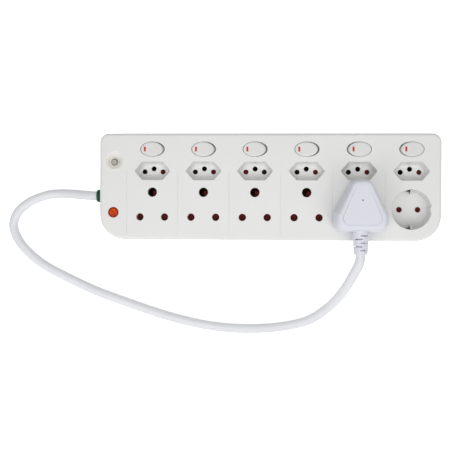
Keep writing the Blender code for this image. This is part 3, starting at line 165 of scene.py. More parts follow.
def polygon(corners, inset=0.0, steps=8):
    """A convex polygon (x, y, radius) drawn in by a distance, its corners turned into arcs.

    Each corner slides along its bisector until both its sides have moved in by the
    distance; the arc there keeps its centre, so its radius shrinks by the same.
    """
    spots = np.array([corner[:2] for corner in corners])
    radii = np.maximum(np.array([corner[2] for corner in corners]) - inset, 0.05 * MM)[:, None]
    ahead = np.roll(spots, -1, axis=0) - spots
    ahead /= np.linalg.norm(ahead, axis=1, keepdims=True)
    back = np.roll(ahead, 1, axis=0)
    normal_back = np.stack((-back[:, 1], back[:, 0]), axis=1)
    normal_ahead = np.stack((-ahead[:, 1], ahead[:, 0]), axis=1)
    share = 1 + np.sum(normal_back * normal_ahead, axis=1, keepdims=True)
    inward = (normal_back + normal_ahead) / share
    centres = spots + inward * (inset + radii)
    first = np.arctan2(-normal_back[:, 1], -normal_back[:, 0])
    sweep = np.arccos(np.clip(np.sum(back * ahead, axis=1), -1, 1))
    turn = first[:, None] + sweep[:, None] * np.linspace(0, 1, steps + 1)[None, :]
    arcs = centres[:, None, :] + radii[:, :, None] * np.stack((np.cos(turn), np.sin(turn)), axis=2)
    return arcs.reshape(-1, 2)


def level(outline, height, x=0.0, y=0.0):
    """A flat outline as a ring of points at a height."""
    outline = np.asarray(outline) + (x, y)
    return np.column_stack((outline, np.full(len(outline), height)))


def quarter(start, end, steps=5, bulge=True):
    """Points of a quarter ellipse between two (inset, height) pairs, the first left out.

    It leaves the start along the height when it bulges, and along the inset otherwise.
    """
    turn = np.linspace(0, np.pi / 2, steps + 1)[1:]
    across, along = (1 - np.cos(turn), np.sin(turn)) if bulge else (np.sin(turn), 1 - np.cos(turn))
    return [(start[0] + (end[0] - start[0]) * a, start[1] + (end[1] - start[1]) * b)
            for a, b in zip(across, along)]


def ring_mesh(name, rings, loop=False):
    """A surface through a stack of rings with equal numbers of points.

    Each ring joins the next with a band of four-sided faces. The ends are closed
    by one flat face each, or joined to each other when the stack is a loop.
    """
    rings = np.asarray(rings, float)
    levels, count = rings.shape[:2]
    index = np.arange(levels * count).reshape(levels, count)
    upper = np.roll(index, -1, axis=0) if loop else index[1:]
    lower = index if loop else index[:-1]
    bands = np.stack((lower, np.roll(lower, -1, axis=1), np.roll(upper, -1, axis=1), upper), axis=-1)
    faces = bands.reshape(-1, 4).tolist()
    if not loop:
        faces += [index[0, ::-1].tolist(), index[-1].tolist()]
    mesh = bpy.data.meshes.new(name)
    mesh.from_pydata(rings.reshape(-1, 3).tolist(), [], faces)
    mesh.update()
    return mesh


def pillar(name, outline, low, high, x=0.0, y=0.0):
    """An upright bar: one flat outline from a height to another."""
    return ring_mesh(name, [level(outline, low, x, y), level(outline, high, x, y)])


def drawn(name, corners, profile, steps, x=0.0, y=0.0):
    """A rounded polygon carried up a profile of (inset, height) pairs."""
    return ring_mesh(name, [level(polygon(corners, inset, steps), height, x, y) for inset, height in profile])


def show(name, mesh, finish, body, replaces=(), sharp=35.0):
    """Puts a finished mesh in the scene: shading, finish, body and what it stands for."""
    piece = bpy.data.objects.new(name, mesh)
    bpy.context.scene.collection.objects.link(piece)
    mesh.shade_smooth()
    mesh.set_sharp_from_angle(angle=math.radians(sharp))
    mesh.materials.clear()
    mesh.materials.append(finish)
    if body is not None:
        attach(piece, body)
    if replaces:
        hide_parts(*replaces)
    return piece


def weigh_normals(piece):
    """Keeps flat faces flat-shaded beside their fillets."""
    weighted = piece.modifiers.new("weighted", "WEIGHTED_NORMAL")
    weighted.keep_sharp = True


def gathered(name, meshes):
    """One mesh from several that don't touch."""
    points = []
    faces = []
    start = 0
    for mesh in meshes:
        flat = np.empty(len(mesh.vertices) * 3)
        mesh.vertices.foreach_get("co", flat)
        points.append(flat.reshape(-1, 3))
        faces += [[start + corner for corner in face.vertices] for face in mesh.polygons]
        start += len(mesh.vertices)
        bpy.data.meshes.remove(mesh)
    joined = bpy.data.meshes.new(name)
    joined.from_pydata(np.concatenate(points).tolist(), [], faces)
    joined.update()
    return joined


def carved(mesh, steps):
    """The mesh after a list of Boolean steps: (operation, list of tool meshes)."""
    scene = bpy.context.scene.collection.objects
    body = bpy.data.objects.new("body", mesh)
    scene.link(body)
    tools = []
    for operation, parts in steps:
        tool = bpy.data.objects.new("tool", gathered("tool", parts))
        scene.link(tool)
        tools.append(tool)
        modifier = body.modifiers.new("step", "BOOLEAN")
        modifier.operation = operation
        modifier.solver = "EXACT"
        modifier.object = tool
    bpy.context.view_layer.update()
    result = bpy.data.meshes.new_from_object(body.evaluated_get(bpy.context.evaluated_depsgraph_get()))
    for thing in [body, *tools]:
        data = thing.data
        bpy.data.objects.remove(thing)
        bpy.data.meshes.remove(data)
    return result


def lathe(name, profile, centre, axis="Z", count=48, loop=False):
    """A turned shape: every (radius, distance along the axis) of the profile goes round the axis."""
    profile = np.asarray(profile, float)
    ring = circle(1.0, count)
    across = profile[:, 0][:, None, None] * ring[None]
    along = np.broadcast_to(profile[:, 1][:, None, None], (len(profile), count, 1))
    points = np.concatenate((across, along), axis=2)
    order = {"Z": (0, 1, 2), "-X": (2, 0, 1), "-Y": (0, 2, 1)}[axis]
    points = points[:, :, order]
    if axis != "Z":
        points = points * ((-1, 1, 1) if axis == "-X" else (1, -1, 1))
    if axis == "-X":
        points = points[:, ::-1]
    return ring_mesh(name, points + np.asarray(centre), loop)


def fillet_hole(outline_at, low, rim, x=0.0, y=0.0):
    """A cutter that leaves a rounded rim: outline_at(inset) narrows to its size below the rim."""
    profile = [(0.0, low), (0.0, FACE - rim)]
    profile += quarter((0.0, FACE - rim), (-rim, FACE), 4)
    profile.append((-rim, FACE + MM))
    return ring_mesh("hole", [level(outline_at(inset), height, x, y) for inset, height in profile])


# ---- Finishes ---------------------------------------------------------------
class Signal:
    """A node's output that takes part in sums with numbers and other outputs."""

    def __init__(self, finish, socket):
        self.finish = finish
        self.socket = socket

    def __add__(self, other):
        return self.finish.math("ADD", self, other)

    def __mul__(self, other):
        return self.finish.math("MULTIPLY", self, other)


class Finish:
    """A Principled material, built up from node expressions."""

    def __init__(self, name, **constants):
        self.material = bpy.data.materials.new(name)
        self.material.use_nodes = True
        self.nodes = self.material.node_tree.nodes
        self.links = self.material.node_tree.links
        self.shader = self.nodes["Principled BSDF"]
        for socket, value in constants.items():
            self.shader.inputs[socket.replace("_", " ")].default_value = value

    def node(self, kind, settings, sockets, output=0):
        """A node of one type, with its settings made first and then its sockets set or linked."""
        node = self.nodes.new(kind)
        for name, value in settings.items():
            setattr(node, name, value)
        for name, value in sockets.items():
            self.feed(node.inputs[name], value)
        return Signal(self, node.outputs[output])

    def feed(self, socket, value):
        """Links a signal to a socket, or sets it."""
        if isinstance(value, Signal):
            self.links.new(value.socket, socket)
        else:
            socket.default_value = value

    def math(self, operation, first, second):
        """One Math node."""
        return self.node("ShaderNodeMath", {"operation": operation}, {0: first, 1: second})

    def coordinates(self):
        """The piece's own coordinates, in metres."""
        return self.node("ShaderNodeTexCoord", {}, {}, "Object")

    def away(self, centre):
        """Distance from the upright line through a point."""
        flat = self.node("ShaderNodeMapping", {}, {"Vector": self.coordinates(), "Scale": (1.0, 1.0, 0.0),
                                                   "Location": (-centre.x, -centre.y, 0.0)})
        return self.node("ShaderNodeVectorMath", {"operation": "LENGTH"}, {0: flat}, "Value")

    def noise(self, scale, detail=2.0, roughness=0.5, vector=None):
        """Noise between 0 and 1, with so many waves a metre."""
        vector = vector or self.coordinates()
        return self.node("ShaderNodeTexNoise", {}, {"Vector": vector, "Scale": scale, "Detail": detail,
                                                    "Roughness": roughness})

    def spread(self, signal, low, high, from_low=0.3, from_high=0.7):
        """A signal mapped from one range to another and held there."""
        return self.node("ShaderNodeMapRange", {"clamp": True},
                         {"Value": signal, "From Min": from_low, "From Max": from_high,
                          "To Min": low, "To Max": high})

    def mixed(self, share, first, second):
        """A colour between two, by a share."""
        node = self.node("ShaderNodeMix", {"data_type": "RGBA"}, {0: share}, 2)
        for index, color in ((6, first), (7, second)):
            self.feed(node.socket.node.inputs[index], color if isinstance(color, Signal) else (*color, 1.0))
        return node

    def bump(self, height, strength, distance, under=None):
        """A bump from a height, on top of another one."""
        sockets = {"Height": height, "Strength": strength, "Distance": distance}
        if under is not None:
            sockets["Normal"] = under
        return self.node("ShaderNodeBump", {}, sockets)

    def wear(self, color=None, roughness=None, normal=None):
        """Feeds the shader's colour, roughness and normal."""
        for socket, signal in (("Base Color", color), ("Roughness", roughness), ("Normal", normal)):
            if signal is not None:
                self.feed(self.shader.inputs[socket], signal)
        return self.material


def moulded(name, color, shade, roughness, grain=2600.0, depth=0.012, spot=None, **constants):
    """Moulded plastic: slow colour drift, a fine spark-eroded grain and a faint flow ripple.

    A spot is (middle, inner and outer radius, colour): a tint round the button that dies away outwards.
    """
    finish = Finish(name, **constants)
    drift = finish.noise(14.0, 3.0)
    speck = finish.noise(420.0, 2.0)
    tint = finish.mixed(finish.spread(drift * 0.7 + speck * 0.3, 0.0, 1.0), color, shade)
    if spot is not None:
        centre, inner, outer, spot_colour = spot
        tint = finish.mixed(finish.spread(finish.away(centre), 0.0, 1.0, inner, outer), spot_colour, tint)
    gloss = finish.spread(finish.noise(900.0, 3.0), roughness - 0.05, roughness + 0.06)
    ripple = finish.bump(finish.noise(60.0, 1.0), 0.12, 0.4 * MM)
    fine = finish.bump(finish.noise(grain, 2.0), depth * 10, 0.02 * MM, ripple)
    return finish.wear(tint, gloss, fine)


HOUSING = moulded("housing_plastic", (0.775, 0.775, 0.762), (0.745, 0.747, 0.735), 0.34,
                  spot=(BUTTON, 7.0 * MM, 10.5 * MM, (0.790, 0.765, 0.705)), Coat_Weight=0.15, Coat_Roughness=0.25)
ROCKER = moulded("rocker_plastic", (0.745, 0.742, 0.735), (0.715, 0.712, 0.700), 0.36)
PLUG = moulded("plug_plastic", (0.700, 0.712, 0.775), (0.672, 0.684, 0.752), 0.42, grain=1800.0, depth=0.02)
MARK = moulded("switch_mark", (0.58, 0.010, 0.020), (0.52, 0.008, 0.016), 0.35)
SHUTTER = moulded("shutter_plastic", (0.120, 0.001, 0.003), (0.080, 0.001, 0.002), 0.65, Specular_IOR_Level=0.2)
DARK = moulded("dark_plastic", (0.045, 0.045, 0.050), (0.032, 0.032, 0.036), 0.45)
GREEN = moulded("gland_plastic", (0.003, 0.080, 0.036), (0.002, 0.060, 0.026), 0.45, Specular_IOR_Level=0.3)
BUTTON_FINISH = moulded("button_plastic", (0.470, 0.450, 0.400), (0.420, 0.400, 0.350), 0.35)
# The nut's own plain white, set brighter than the housing's as painted light against the shade at the dish's floor.
NUT_PAINTED_LIGHT = moulded("nut_plastic_painted_light", (0.860, 0.850, 0.820), (0.840, 0.830, 0.800), 0.36)
# The bush is darker brown within 3.1 mm of the button's middle and turns to its own colour by 3.3 mm.
BUSH = moulded("bush_plastic", (0.700, 0.670, 0.600), (0.660, 0.630, 0.560), 0.45,
               spot=(BUTTON, 3.1 * MM, 3.3 * MM, (0.120, 0.095, 0.070)))


def make_cord_finish():
    """Extruded sheath: a soft satin skin with faint draw lines along it and lay marks round it."""
    finish = Finish("cord_sheath", Coat_Weight=0.05, Coat_Roughness=0.4)
    drift = finish.noise(22.0, 2.0)
    tint = finish.mixed(finish.spread(drift, 0.0, 1.0), (0.765, 0.772, 0.800), (0.735, 0.742, 0.772))
    gloss = finish.spread(finish.noise(300.0, 2.0), 0.40, 0.52)
    wavy = finish.bump(finish.noise(95.0, 1.0), 0.2, 0.3 * MM)
    return finish.wear(tint, gloss, finish.bump(finish.noise(1500.0, 2.0), 0.15, 0.03 * MM, wavy))


def make_metal(name, color, shade, roughness):
    """Rolled or plated metal: brushed streaks and slight staining."""
    finish = Finish(name, Metallic=1.0)
    stretch = finish.node("ShaderNodeMapping", {}, {"Vector": finish.coordinates(), "Scale": (1.0, 30.0, 1.0)})
    streak = finish.noise(120.0, 3.0, 0.6, stretch)
    tint = finish.mixed(finish.spread(finish.noise(90.0, 3.0), 0.0, 1.0), color, shade)
    gloss = finish.spread(streak, roughness - 0.08, roughness + 0.12)
    return finish.wear(tint, gloss, finish.bump(streak, 0.1, 0.05 * MM))


def make_lamp_finish():
    """Clear tinted lens: patches of orange over the bulb, deep red between them and round its rim."""
    finish = Finish("lamp_lens_plastic", Roughness=0.30, Specular_IOR_Level=0.12)
    rim = finish.away(LAMP) * (1 / LENS)
    mottle = finish.noise(450.0, 2.0)
    glow = finish.mixed(finish.spread(mottle, 0.0, 1.0, 0.40, 0.60), (0.30, 0.020, 0.001), (0.82, 0.095, 0.001))
    tint = finish.mixed(finish.spread(rim + mottle * 0.3, 0.0, 1.0, 0.70, 1.15), glow, (0.200, 0.003, 0.001))
    finish.feed(finish.shader.inputs["Emission Color"], tint)
    finish.shader.inputs["Emission Strength"].default_value = 0.08
    return finish.wear(tint, None, finish.bump(mottle, 0.3, 0.1 * MM))


LENS = 5.1 * MM
CORD_FINISH = make_cord_finish()
PIN_BRASS = make_metal("pin_brass", (0.66, 0.47, 0.20), (0.56, 0.38, 0.15), 0.30)
# Painted shade: the contacts' brass is made nearly black, standing in for the shade deep inside the socket holes.
BRASS_PAINTED_SHADE = make_metal("brass_strip_painted_shade", (0.085, 0.050, 0.022), (0.045, 0.028, 0.014), 0.55)
TIN = moulded("tinned_spring", (0.80, 0.80, 0.80), (0.72, 0.72, 0.72), 0.38, Metallic=0.35)
STEEL = make_metal("plated_steel", (0.56, 0.56, 0.57), (0.48, 0.48, 0.49), 0.30)
LAMP_FINISH = make_lamp_finish()


# ---- Camera and light -------------------------------------------------------
CAMERA_PLACE = (-0.0033, -0.0305, FACE + 0.7698)
CAMERA_TURN = ((3.06, "Y"), (-0.647, "X"), (0.292, "Z"))     # degrees, the last turn made first
FLOOR_RADIUS = 4.0
SURROUND_LIGHT = 0.43
LIGHTS = (("left", (-0.62, -0.72, 1.05), (-0.06, 0.0, 0.0), 0.8, 5.2),
          ("right", (0.62, -0.72, 1.05), (0.06, 0.0, 0.0), 0.8, 4.5),
          ("top", (0.0, -0.10, 1.60), (0.0, -0.03, 0.0), 1.2, 5.8))     # name, place, target, size, power


def make_camera():
    """A long lens nearly straight above the socket face."""
    data = bpy.data.cameras.new("camera")
    data.lens = 60.28
    data.sensor_width = 36.0
    data.clip_start = 0.05
    camera = bpy.data.objects.new("camera", data)
    bpy.context.scene.collection.objects.link(camera)
    pose = Matrix.Translation(CAMERA_PLACE)
    for angle, axis in CAMERA_TURN:
        pose = pose @ Matrix.Rotation(math.radians(angle), 4, axis)
    camera.matrix_world = pose
    bpy.context.scene.camera = camera


def make_studio():
    """A white floor, a pale surround and square soft lights, each aimed at a point."""
    floor = bpy.data.objects.new("floor", pillar("floor", circle(FLOOR_RADIUS, 64), -0.02, 0.0))
    bpy.context.scene.collection.objects.link(floor)
    finish = Finish("studio_floor", Roughness=0.9)
    seen = finish.node("ShaderNodeLightPath", {}, {}, "Is Camera Ray")
    glow = finish.mixed(seen, (0.22, 0.22, 0.22), (1.0, 1.0, 1.0))
    finish.feed(finish.shader.inputs["Emission Color"], glow)
    finish.shader.inputs["Emission Strength"].default_value = 0.6
    shade = finish.mixed(finish.noise(3.0, 1.0), (0.93, 0.93, 0.93), (0.90, 0.90, 0.90))
    floor.data.materials.append(finish.wear(shade))
    world = bpy.data.worlds.new("surround")
    world.use_nodes = True
    tree = world.node_tree
    sky = tree.nodes["Background"]
    sky.inputs["Color"].default_value = (1.0, 1.0, 1.0, 1.0)
    ray = tree.nodes.new("ShaderNodeLightPath")
    strength = tree.nodes.new("ShaderNodeMapRange")
    strength.inputs["To Min"].default_value = SURROUND_LIGHT
    tree.links.new(ray.outputs["Is Camera Ray"], strength.inputs["Value"])
    tree.links.new(strength.outputs[0], sky.inputs["Strength"])
    bpy.context.scene.world = world
    bpy.context.scene.view_settings.view_transform = "Standard"
    for name, place, target, size, power in LIGHTS:
        data = bpy.data.lights.new(name, "AREA")
        data.size = size
        data.energy = power
        light = bpy.data.objects.new(name, data)
        bpy.context.scene.collection.objects.link(light)
        light.location = place
        light.rotation_euler = (Vector(place) - Vector(target)).to_track_quat("Z", "Y").to_euler()


# ---- Top cover --------------------------------------------------------------
HOUSING_OUTLINE = [(-HALF_LENGTH, -HALF_WIDTH, FRONT_RADIUS), (HALF_LENGTH, -HALF_WIDTH, FRONT_RADIUS),
                   (HALF_LENGTH, HALF_WIDTH, REAR_RADIUS), (-HALF_LENGTH, HALF_WIDTH, REAR_RADIUS)]
HEX_OUTLINE = [(-10.5 * MM, -9.35 * MM, 1.6 * MM), (10.5 * MM, -9.35 * MM, 1.6 * MM), (18.4 * MM, 0.0, 1.6 * MM),
               (10.5 * MM, 9.35 * MM, 1.6 * MM), (-10.5 * MM, 9.35 * MM, 1.6 * MM), (-18.4 * MM, 0.0, 1.6 * MM)]
HOUSING_STEPS = 14              # faces round a corner of the housing
GROOVE_FRONT = -49 * MM
GROOVE_REAR = 16 * MM
GROOVE_PROFILE = ((0.1 * MM, FACE - 0.3 * MM), (0.35 * MM, FACE - 0.1 * MM), (0.6 * MM, FACE),
                  (0.6 * MM, FACE + MM))    # half width and height
BOWL_PROFILE = ((2.9, DISH_DEPTH / MM), (2.8, 1.75), (2.6, 1.5), (1.9, 1.15), (1.1, 0.8),
                (0.4, 0.45))    # inset and depth, in mm


def large_holes():
    """Place along X and Y and radius of every hole of the large sockets."""
    for number in LARGE_COLUMNS:
        for across, row, radius in ((-PIN_OFFSET, PIN_ROW, LARGE_HOLE), (PIN_OFFSET, PIN_ROW, LARGE_HOLE),
                                    (0.0, EARTH_ROW, LARGE_EARTH_HOLE)):
            yield COLUMN_X[number] + across, row, radius


def well_ring(radius, count=48):
    """A circle with a guide rib of constant width on either side along X.

    Each half runs along the circle from rib to rib, then in and out round the
    rib; inside the ribs' width the distance from the middle is cut by its reach.
    """
    half_turn = math.asin(RIB_HALF / radius)
    turn = np.linspace(half_turn, np.pi - half_turn, count)
    arc = np.stack((np.cos(turn), np.sin(turn)), axis=1) * radius
    inner = radius * math.cos(half_turn) - RIB_REACH
    rib = np.array(((-inner, RIB_HALF), (-inner, -RIB_HALF)))
    half = np.concatenate((arc, rib))
    return np.concatenate((half, -half))


def cover_shell():
    """The cover's box: wall and face of even thickness, with a fillet round the face."""
    inner = [(COVER_WALL, PARTING), (COVER_WALL, FACE - FACE_FILLET)]
    inner += quarter((COVER_WALL, FACE - FACE_FILLET), (FACE_FILLET + 0.2 * MM, FACE - COVER_WALL), 3)
    outer = [(0.25 * MM, PARTING), (0.0, PARTING + 0.35 * MM), (0.0, FACE - FACE_FILLET)]
    outer += quarter((0.0, FACE - FACE_FILLET), (FACE_FILLET, FACE), 8)
    profile = inner[::-1] + outer
    return drawn("socket_face", HOUSING_OUTLINE, profile, HOUSING_STEPS)


def cover_blocks():
    """What stands behind the face: recess walls, collars, the dish's cup and screw bosses."""
    root = FACE - COVER_WALL / 2
    hex_foot = FACE - HEX_DEPTH - RECESS_WALL
    blocks = []
    for x in COLUMN_X.values():
        profile = [(HEX_DRAFT - RECESS_WALL, hex_foot), (-RECESS_WALL, root)]
        blocks.append(drawn("block", HEX_OUTLINE, profile, 3, x, SMALL_ROW + HEX_RISE))
        ring = oval(OPENING_HALF + OPENING_WALL)
        blocks.append(pillar("block", ring, FACE - OPENING_COLLAR, root, x, SWITCH_ROW))
    for x, row, radius in large_holes():
        blocks.append(pillar("block", circle(radius + COLLAR_WALL, 32), FACE - COLLAR_LENGTH, root, x, row))
    ring = circle(WELL_RADIUS + RECESS_WALL, 72)
    blocks.append(pillar("block", ring, FACE - WELL_DEPTH - RECESS_WALL, root, WELL_X, WELL_Y))
    ring = circle(DISH_RADIUS + RECESS_WALL, 48)
    blocks.append(pillar("block", ring, FACE - DISH_DEPTH - RECESS_WALL, root, BUTTON.x, BUTTON.y + DISH_RISE))
    for spot in SCREWS:
        blocks.append(pillar("block", circle(BOSS_RADIUS, 24), BOSS_FOOT, root, spot.x, spot.y))
    for number in (2, 4):
        for row in (SCREWS[0].y, SCREWS[-1].y):
            blocks.append(pillar("block", circle(POST_RADIUS, 24), POST_FOOT, root, COLUMN_X[number] + PITCH / 2, row))
    return blocks


def recess_profile(depth, draft, lean, cove, rim, steps):
    """Inset and height up a recess: coved floor, leaning wall and a mouth rounded by (width, height)."""
    floor = FACE - depth
    profile = [(draft + cove, floor)]
    profile += quarter((draft + cove, floor), (lean, floor + cove), steps, bulge=False)
    profile.append((0.0, FACE - rim[1]))
    profile += quarter((0.0, FACE - rim[1]), (-rim[0], FACE), steps)
    return profile + [(-rim[0], FACE + MM)]


def hex_hollow(x):
    """A six-sided recess with a deep cove."""
    lean = HEX_DRAFT * (HEX_DEPTH - HEX_COVE) / HEX_DEPTH
    profile = recess_profile(HEX_DEPTH, HEX_DRAFT, lean, HEX_COVE, (0.48 * MM, 0.8 * MM), 5)
    return drawn("hole", HEX_OUTLINE, profile, 4, x, SMALL_ROW + HEX_RISE)


def well_hollow():
    """The round recess, with two guide ribs."""
    profile = recess_profile(WELL_DEPTH, WELL_DRAFT, WELL_DRAFT, WELL_COVE, (HOLE_RIM, HOLE_RIM), 4)
    return ring_mesh("hole", [level(well_ring(WELL_RADIUS - inset), height, WELL_X, WELL_Y)
                              for inset, height in profile])


def dish_hollow():
    """The shallow bowl round the reset button."""
    profile = [(inset * MM, FACE - depth * MM) for inset, depth in BOWL_PROFILE]
    profile += quarter(profile[-1], (-0.8 * MM, FACE), 5)
    profile.append((-0.8 * MM, FACE + MM))
    return ring_mesh("hole", [level(circle(DISH_RADIUS - inset, 56), height, BUTTON.x, BUTTON.y + DISH_RISE)
                              for inset, height in profile])


def cover_hollows():
    """Everything open to the socket face."""
    hollows = [well_hollow(), dish_hollow()]
    for x in COLUMN_X.values():
        hollows.append(hex_hollow(x))
        hollows.append(fillet_hole(lambda inset: oval(OPENING_HALF - inset), FACE - OPENING_COLLAR - MM, 0.45 * MM,
                                   x, SWITCH_ROW))
    for x, row, radius in large_holes():
        hollows.append(fillet_hole(lambda inset: circle(radius - inset, 40), FACE - COLLAR_LENGTH - MM, HOLE_RIM,
                                   x, row))
    hollows.append(fillet_hole(lambda inset: circle(LAMP_HOLE - inset, 48), FACE - 5 * MM, 0.3 * MM, LAMP.x, LAMP.y))
    hollows.append(lathe("hole", [(GLAND_NECK + 0.2 * MM, -4 * MM), (GLAND_NECK + 0.2 * MM, 4 * MM)],
                         (-HALF_LENGTH, GLAND.y, GLAND.z), "-X", 40))
    return hollows


def floor_hole(radius, floor, chamfer, x, y, count):
    """A cutter for a round hole in a recess's floor, with a chamfered rim."""
    profile = [(radius, floor - 2 * RECESS_WALL), (radius, floor - chamfer), (radius + chamfer, floor),
               (radius + chamfer, floor + 0.5 * MM)]
    return lathe("drill", profile, (x, y, 0.0), "Z", count)


def cover_drills():
    """Holes in the recesses' floors, the switches' pivot holes and the bosses' bores."""
    drills = []
    pivot = JOINTS["rocker_1_tilt"]["pos_m"][2]
    for x in COLUMN_X.values():
        for across, rise in ((-SMALL_OFFSET, 0.0), (SMALL_OFFSET, 0.0), (0.0, SMALL_EARTH_RISE)):
            drills.append(floor_hole(SMALL_HOLE, FACE - HEX_DEPTH, 0.25 * MM, x + across, SMALL_ROW + rise, 28))
        drills.append(lathe("drill", [(PIVOT_HOLE, -PIVOT_REACH), (PIVOT_HOLE, PIVOT_REACH)],
                            (x, SWITCH_ROW, pivot), "-Y", 20))
    well_floor = FACE - WELL_DEPTH
    clip_low, clip_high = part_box("well_earth_clip")
    half = (clip_high.x - clip_low.x) / 2 + 0.3 * MM
    left = -half - 0.5 * MM
    for side in (-1, 1):
        drills.append(floor_hole(WELL_HOLE, well_floor, 0.3 * MM, WELL_X + side * SMALL_OFFSET, WELL_Y, 32))
        front, rear = sorted(((clip_high.y - WELL_Y - 1.2 * MM) * side + WELL_Y,
                              (WELL_RADIUS + RECESS_WALL + MM) * side + WELL_Y))
        slot = ((left, front), (half, front), (half, rear), (left, rear))
        drills.append(pillar("drill", slot, well_floor - 2 * RECESS_WALL, clip_high.z + 0.6 * MM, WELL_X))
    dish_floor = FACE - DISH_DEPTH
    drills.append(pillar("drill", circle(BUSH_HOLE, 32), dish_floor - 2 * RECESS_WALL, dish_floor + MM,
                         BUTTON.x, BUTTON.y))
    for spot in SCREWS:
        drills.append(pillar("drill", circle(SCREW_BORE, 16), 5 * MM, 18 * MM, spot.x, spot.y))
    return drills


def cover_grooves():
    """Fine V grooves between the columns, from the small sockets to the front edge."""
    grooves = []
    for middle_x in COLUMN_X.values():
        strip = np.array(((-1, GROOVE_FRONT), (1, GROOVE_FRONT), (1, GROOVE_REAR), (-1, GROOVE_REAR)))
        grooves.append(ring_mesh("groove", [level(strip * (half, 1.0), height, middle_x - PITCH / 2)
                                            for half, height in GROOVE_PROFILE]))
    return grooves


def make_cover():
    """The whole moulded cover."""
    mesh = carved(cover_shell(), [("UNION", cover_blocks()), ("DIFFERENCE", cover_hollows()),
                                  ("DIFFERENCE", cover_drills()), ("DIFFERENCE", cover_grooves())])
    cover = show("socket_face", mesh, HOUSING, "housing", ["top_cover"])
    weigh_normals(cover)


# ---- Base tray --------------------------------------------------------------
BASE_WALL = 2.2 * MM
BASE_FLOOR = 2.4 * MM
SCREW_POCKET = 3.0 * MM
PILLAR_RADIUS = 5.2 * MM


def block(low, high):
    """A plain box between two corners."""
    outline = ((low[0], low[1]), (high[0], low[1]), (high[0], high[1]), (low[0], high[1]))
    return pillar("block", outline, low[2], high[2])


def make_tray():
    """The back: a shallow tray with a soft lower edge, sunk screw pockets and pillars."""
    rim = PARTING - 0.3 * MM
    soft = 1.4 * MM
    profile = quarter((soft, 0.0), (0.0, soft), 6, bulge=False)
    profile = [(soft, 0.0)] + profile + [(0.0, rim - 0.35 * MM), (0.25 * MM, rim), (BASE_WALL, rim),
                                         (BASE_WALL, BASE_FLOOR + 0.8 * MM), (BASE_WALL + 0.8 * MM, BASE_FLOOR)]
    tray = drawn("back_tray", HOUSING_OUTLINE, profile, HOUSING_STEPS)
    root = BASE_FLOOR / 2
    margin = Vector((2 * MM, 2 * MM, 0.0))
    blocks = []
    for name in [f"switch_body_{number}" for number in COLUMNS] + ["overload_breaker"]:
        low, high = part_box(name)
        low, high = low + margin, high - margin
        blocks.append(block((low.x, low.y, root), (high.x, high.y, low.z - 0.3 * MM)))
    pockets = []
    for spot in SCREWS:
        blocks.append(pillar("block", circle(PILLAR_RADIUS, 28), root, BASE_FLOOR + SCREW_POCKET, spot.x, spot.y))
        pockets.append(pillar("drill", circle(SCREW_BORE, 20), -MM, 7 * MM, spot.x, spot.y))
        profile = [(3.6 * MM, -MM), (3.6 * MM, 0.0), (3.3 * MM, 0.3 * MM), (3.3 * MM, SCREW_POCKET)]
        pockets.append(lathe("drill", profile, (spot.x, spot.y, 0.0), "Z", 32))
    mesh = carved(tray, [("UNION", blocks), ("DIFFERENCE", pockets[::2]), ("DIFFERENCE", pockets[1::2])])
    back = show("back_tray", mesh, HOUSING, "housing", ["base_tray"])
    weigh_normals(back)


# ---- Rockers ----------------------------------------------------------------
ROCKER_HALF = np.array((11.5, 7.3)) * MM
ROCKER_TOP = 8.1 * MM           # above the pivot
ROCKER_SKIRT = (((0.75, 0.28), -1.7), ((0.75, 0.28), 1.5), ((0.43, 0.28), 4.2), ((0.24, 0.28), 5.8),
                ((0.10, 0.22), 6.6))   # how much wider than the top, and height above the pivot, in mm
ROCKER_EDGE = 1.1 * MM
ROCKER_DIP = 0.35 * MM
MARK_HALF = (1.08 * MM, 2.45 * MM)
MARK_SHIFT = -7.0 * MM


def tilted(points, pivot, angle):
    """Points turned about a pivot's Y axis."""
    turn = np.array(Matrix.Rotation(angle, 3, "Y"))
    return points @ turn.T + np.asarray(pivot)


def make_rocker(number):
    """An oval rocker with a soft edge and a slightly hollowed top, and its red mark."""
    joint = JOINTS[f"rocker_{number}_tilt"]
    rest = -math.radians(sum(joint["range_deg"]) / 2)
    profile = quarter((0.0, ROCKER_TOP - ROCKER_EDGE), (ROCKER_EDGE, ROCKER_TOP), 6)
    rings = [level(oval(ROCKER_HALF + np.array(flare) * MM), height * MM) for flare, height in ROCKER_SKIRT]
    rings += [level(oval(ROCKER_HALF - inset), height) for inset, height in profile]
    for share in (0.85, 0.65, 0.45, 0.25, 0.08):
        rings.append(level(oval((ROCKER_HALF - ROCKER_EDGE) * share), ROCKER_TOP))
    rings = np.array(rings)
    reach = np.clip(rings[..., 0] / ROCKER_HALF[0], -1, 1)
    top = np.clip((rings[..., 2] - ROCKER_TOP + ROCKER_EDGE) / ROCKER_EDGE, 0, 1)
    rings[..., 2] -= top * ROCKER_DIP * (1 - reach ** 2)
    rocker = ring_mesh(f"switch_rocker_{number}", tilted(rings, joint["pos_m"], rest))
    show(f"switch_rocker_{number}", rocker, ROCKER, f"rocker_{number}", [f"rocker_{number}"])
    bar = polygon([(across * MARK_HALF[0], along * MARK_HALF[1], 0.3 * MM)
                   for across, along in ((-1, -1), (1, -1), (1, 1), (-1, 1))], 0.0, 3)
    skin = ROCKER_TOP - ROCKER_DIP * (1 - (MARK_SHIFT / ROCKER_HALF[0]) ** 2)
    rings = np.array([level(bar * share, skin + lift * MM, MARK_SHIFT)
                      for share, lift in ((1.0, -0.5), (1.0, 0.02), (0.9, 0.06))])
    mark = ring_mesh(f"switch_mark_{number}", tilted(rings, joint["pos_m"], rest))
    show(f"switch_mark_{number}", mark, MARK, f"rocker_{number}")


# ---- Breaker, lamp, earth contact -------------------------------------------
SPRING_BULGE = 3.6 * MM
SPRING_LEFT = -0.5 * MM
SPRING_RIGHT = 1.9 * MM


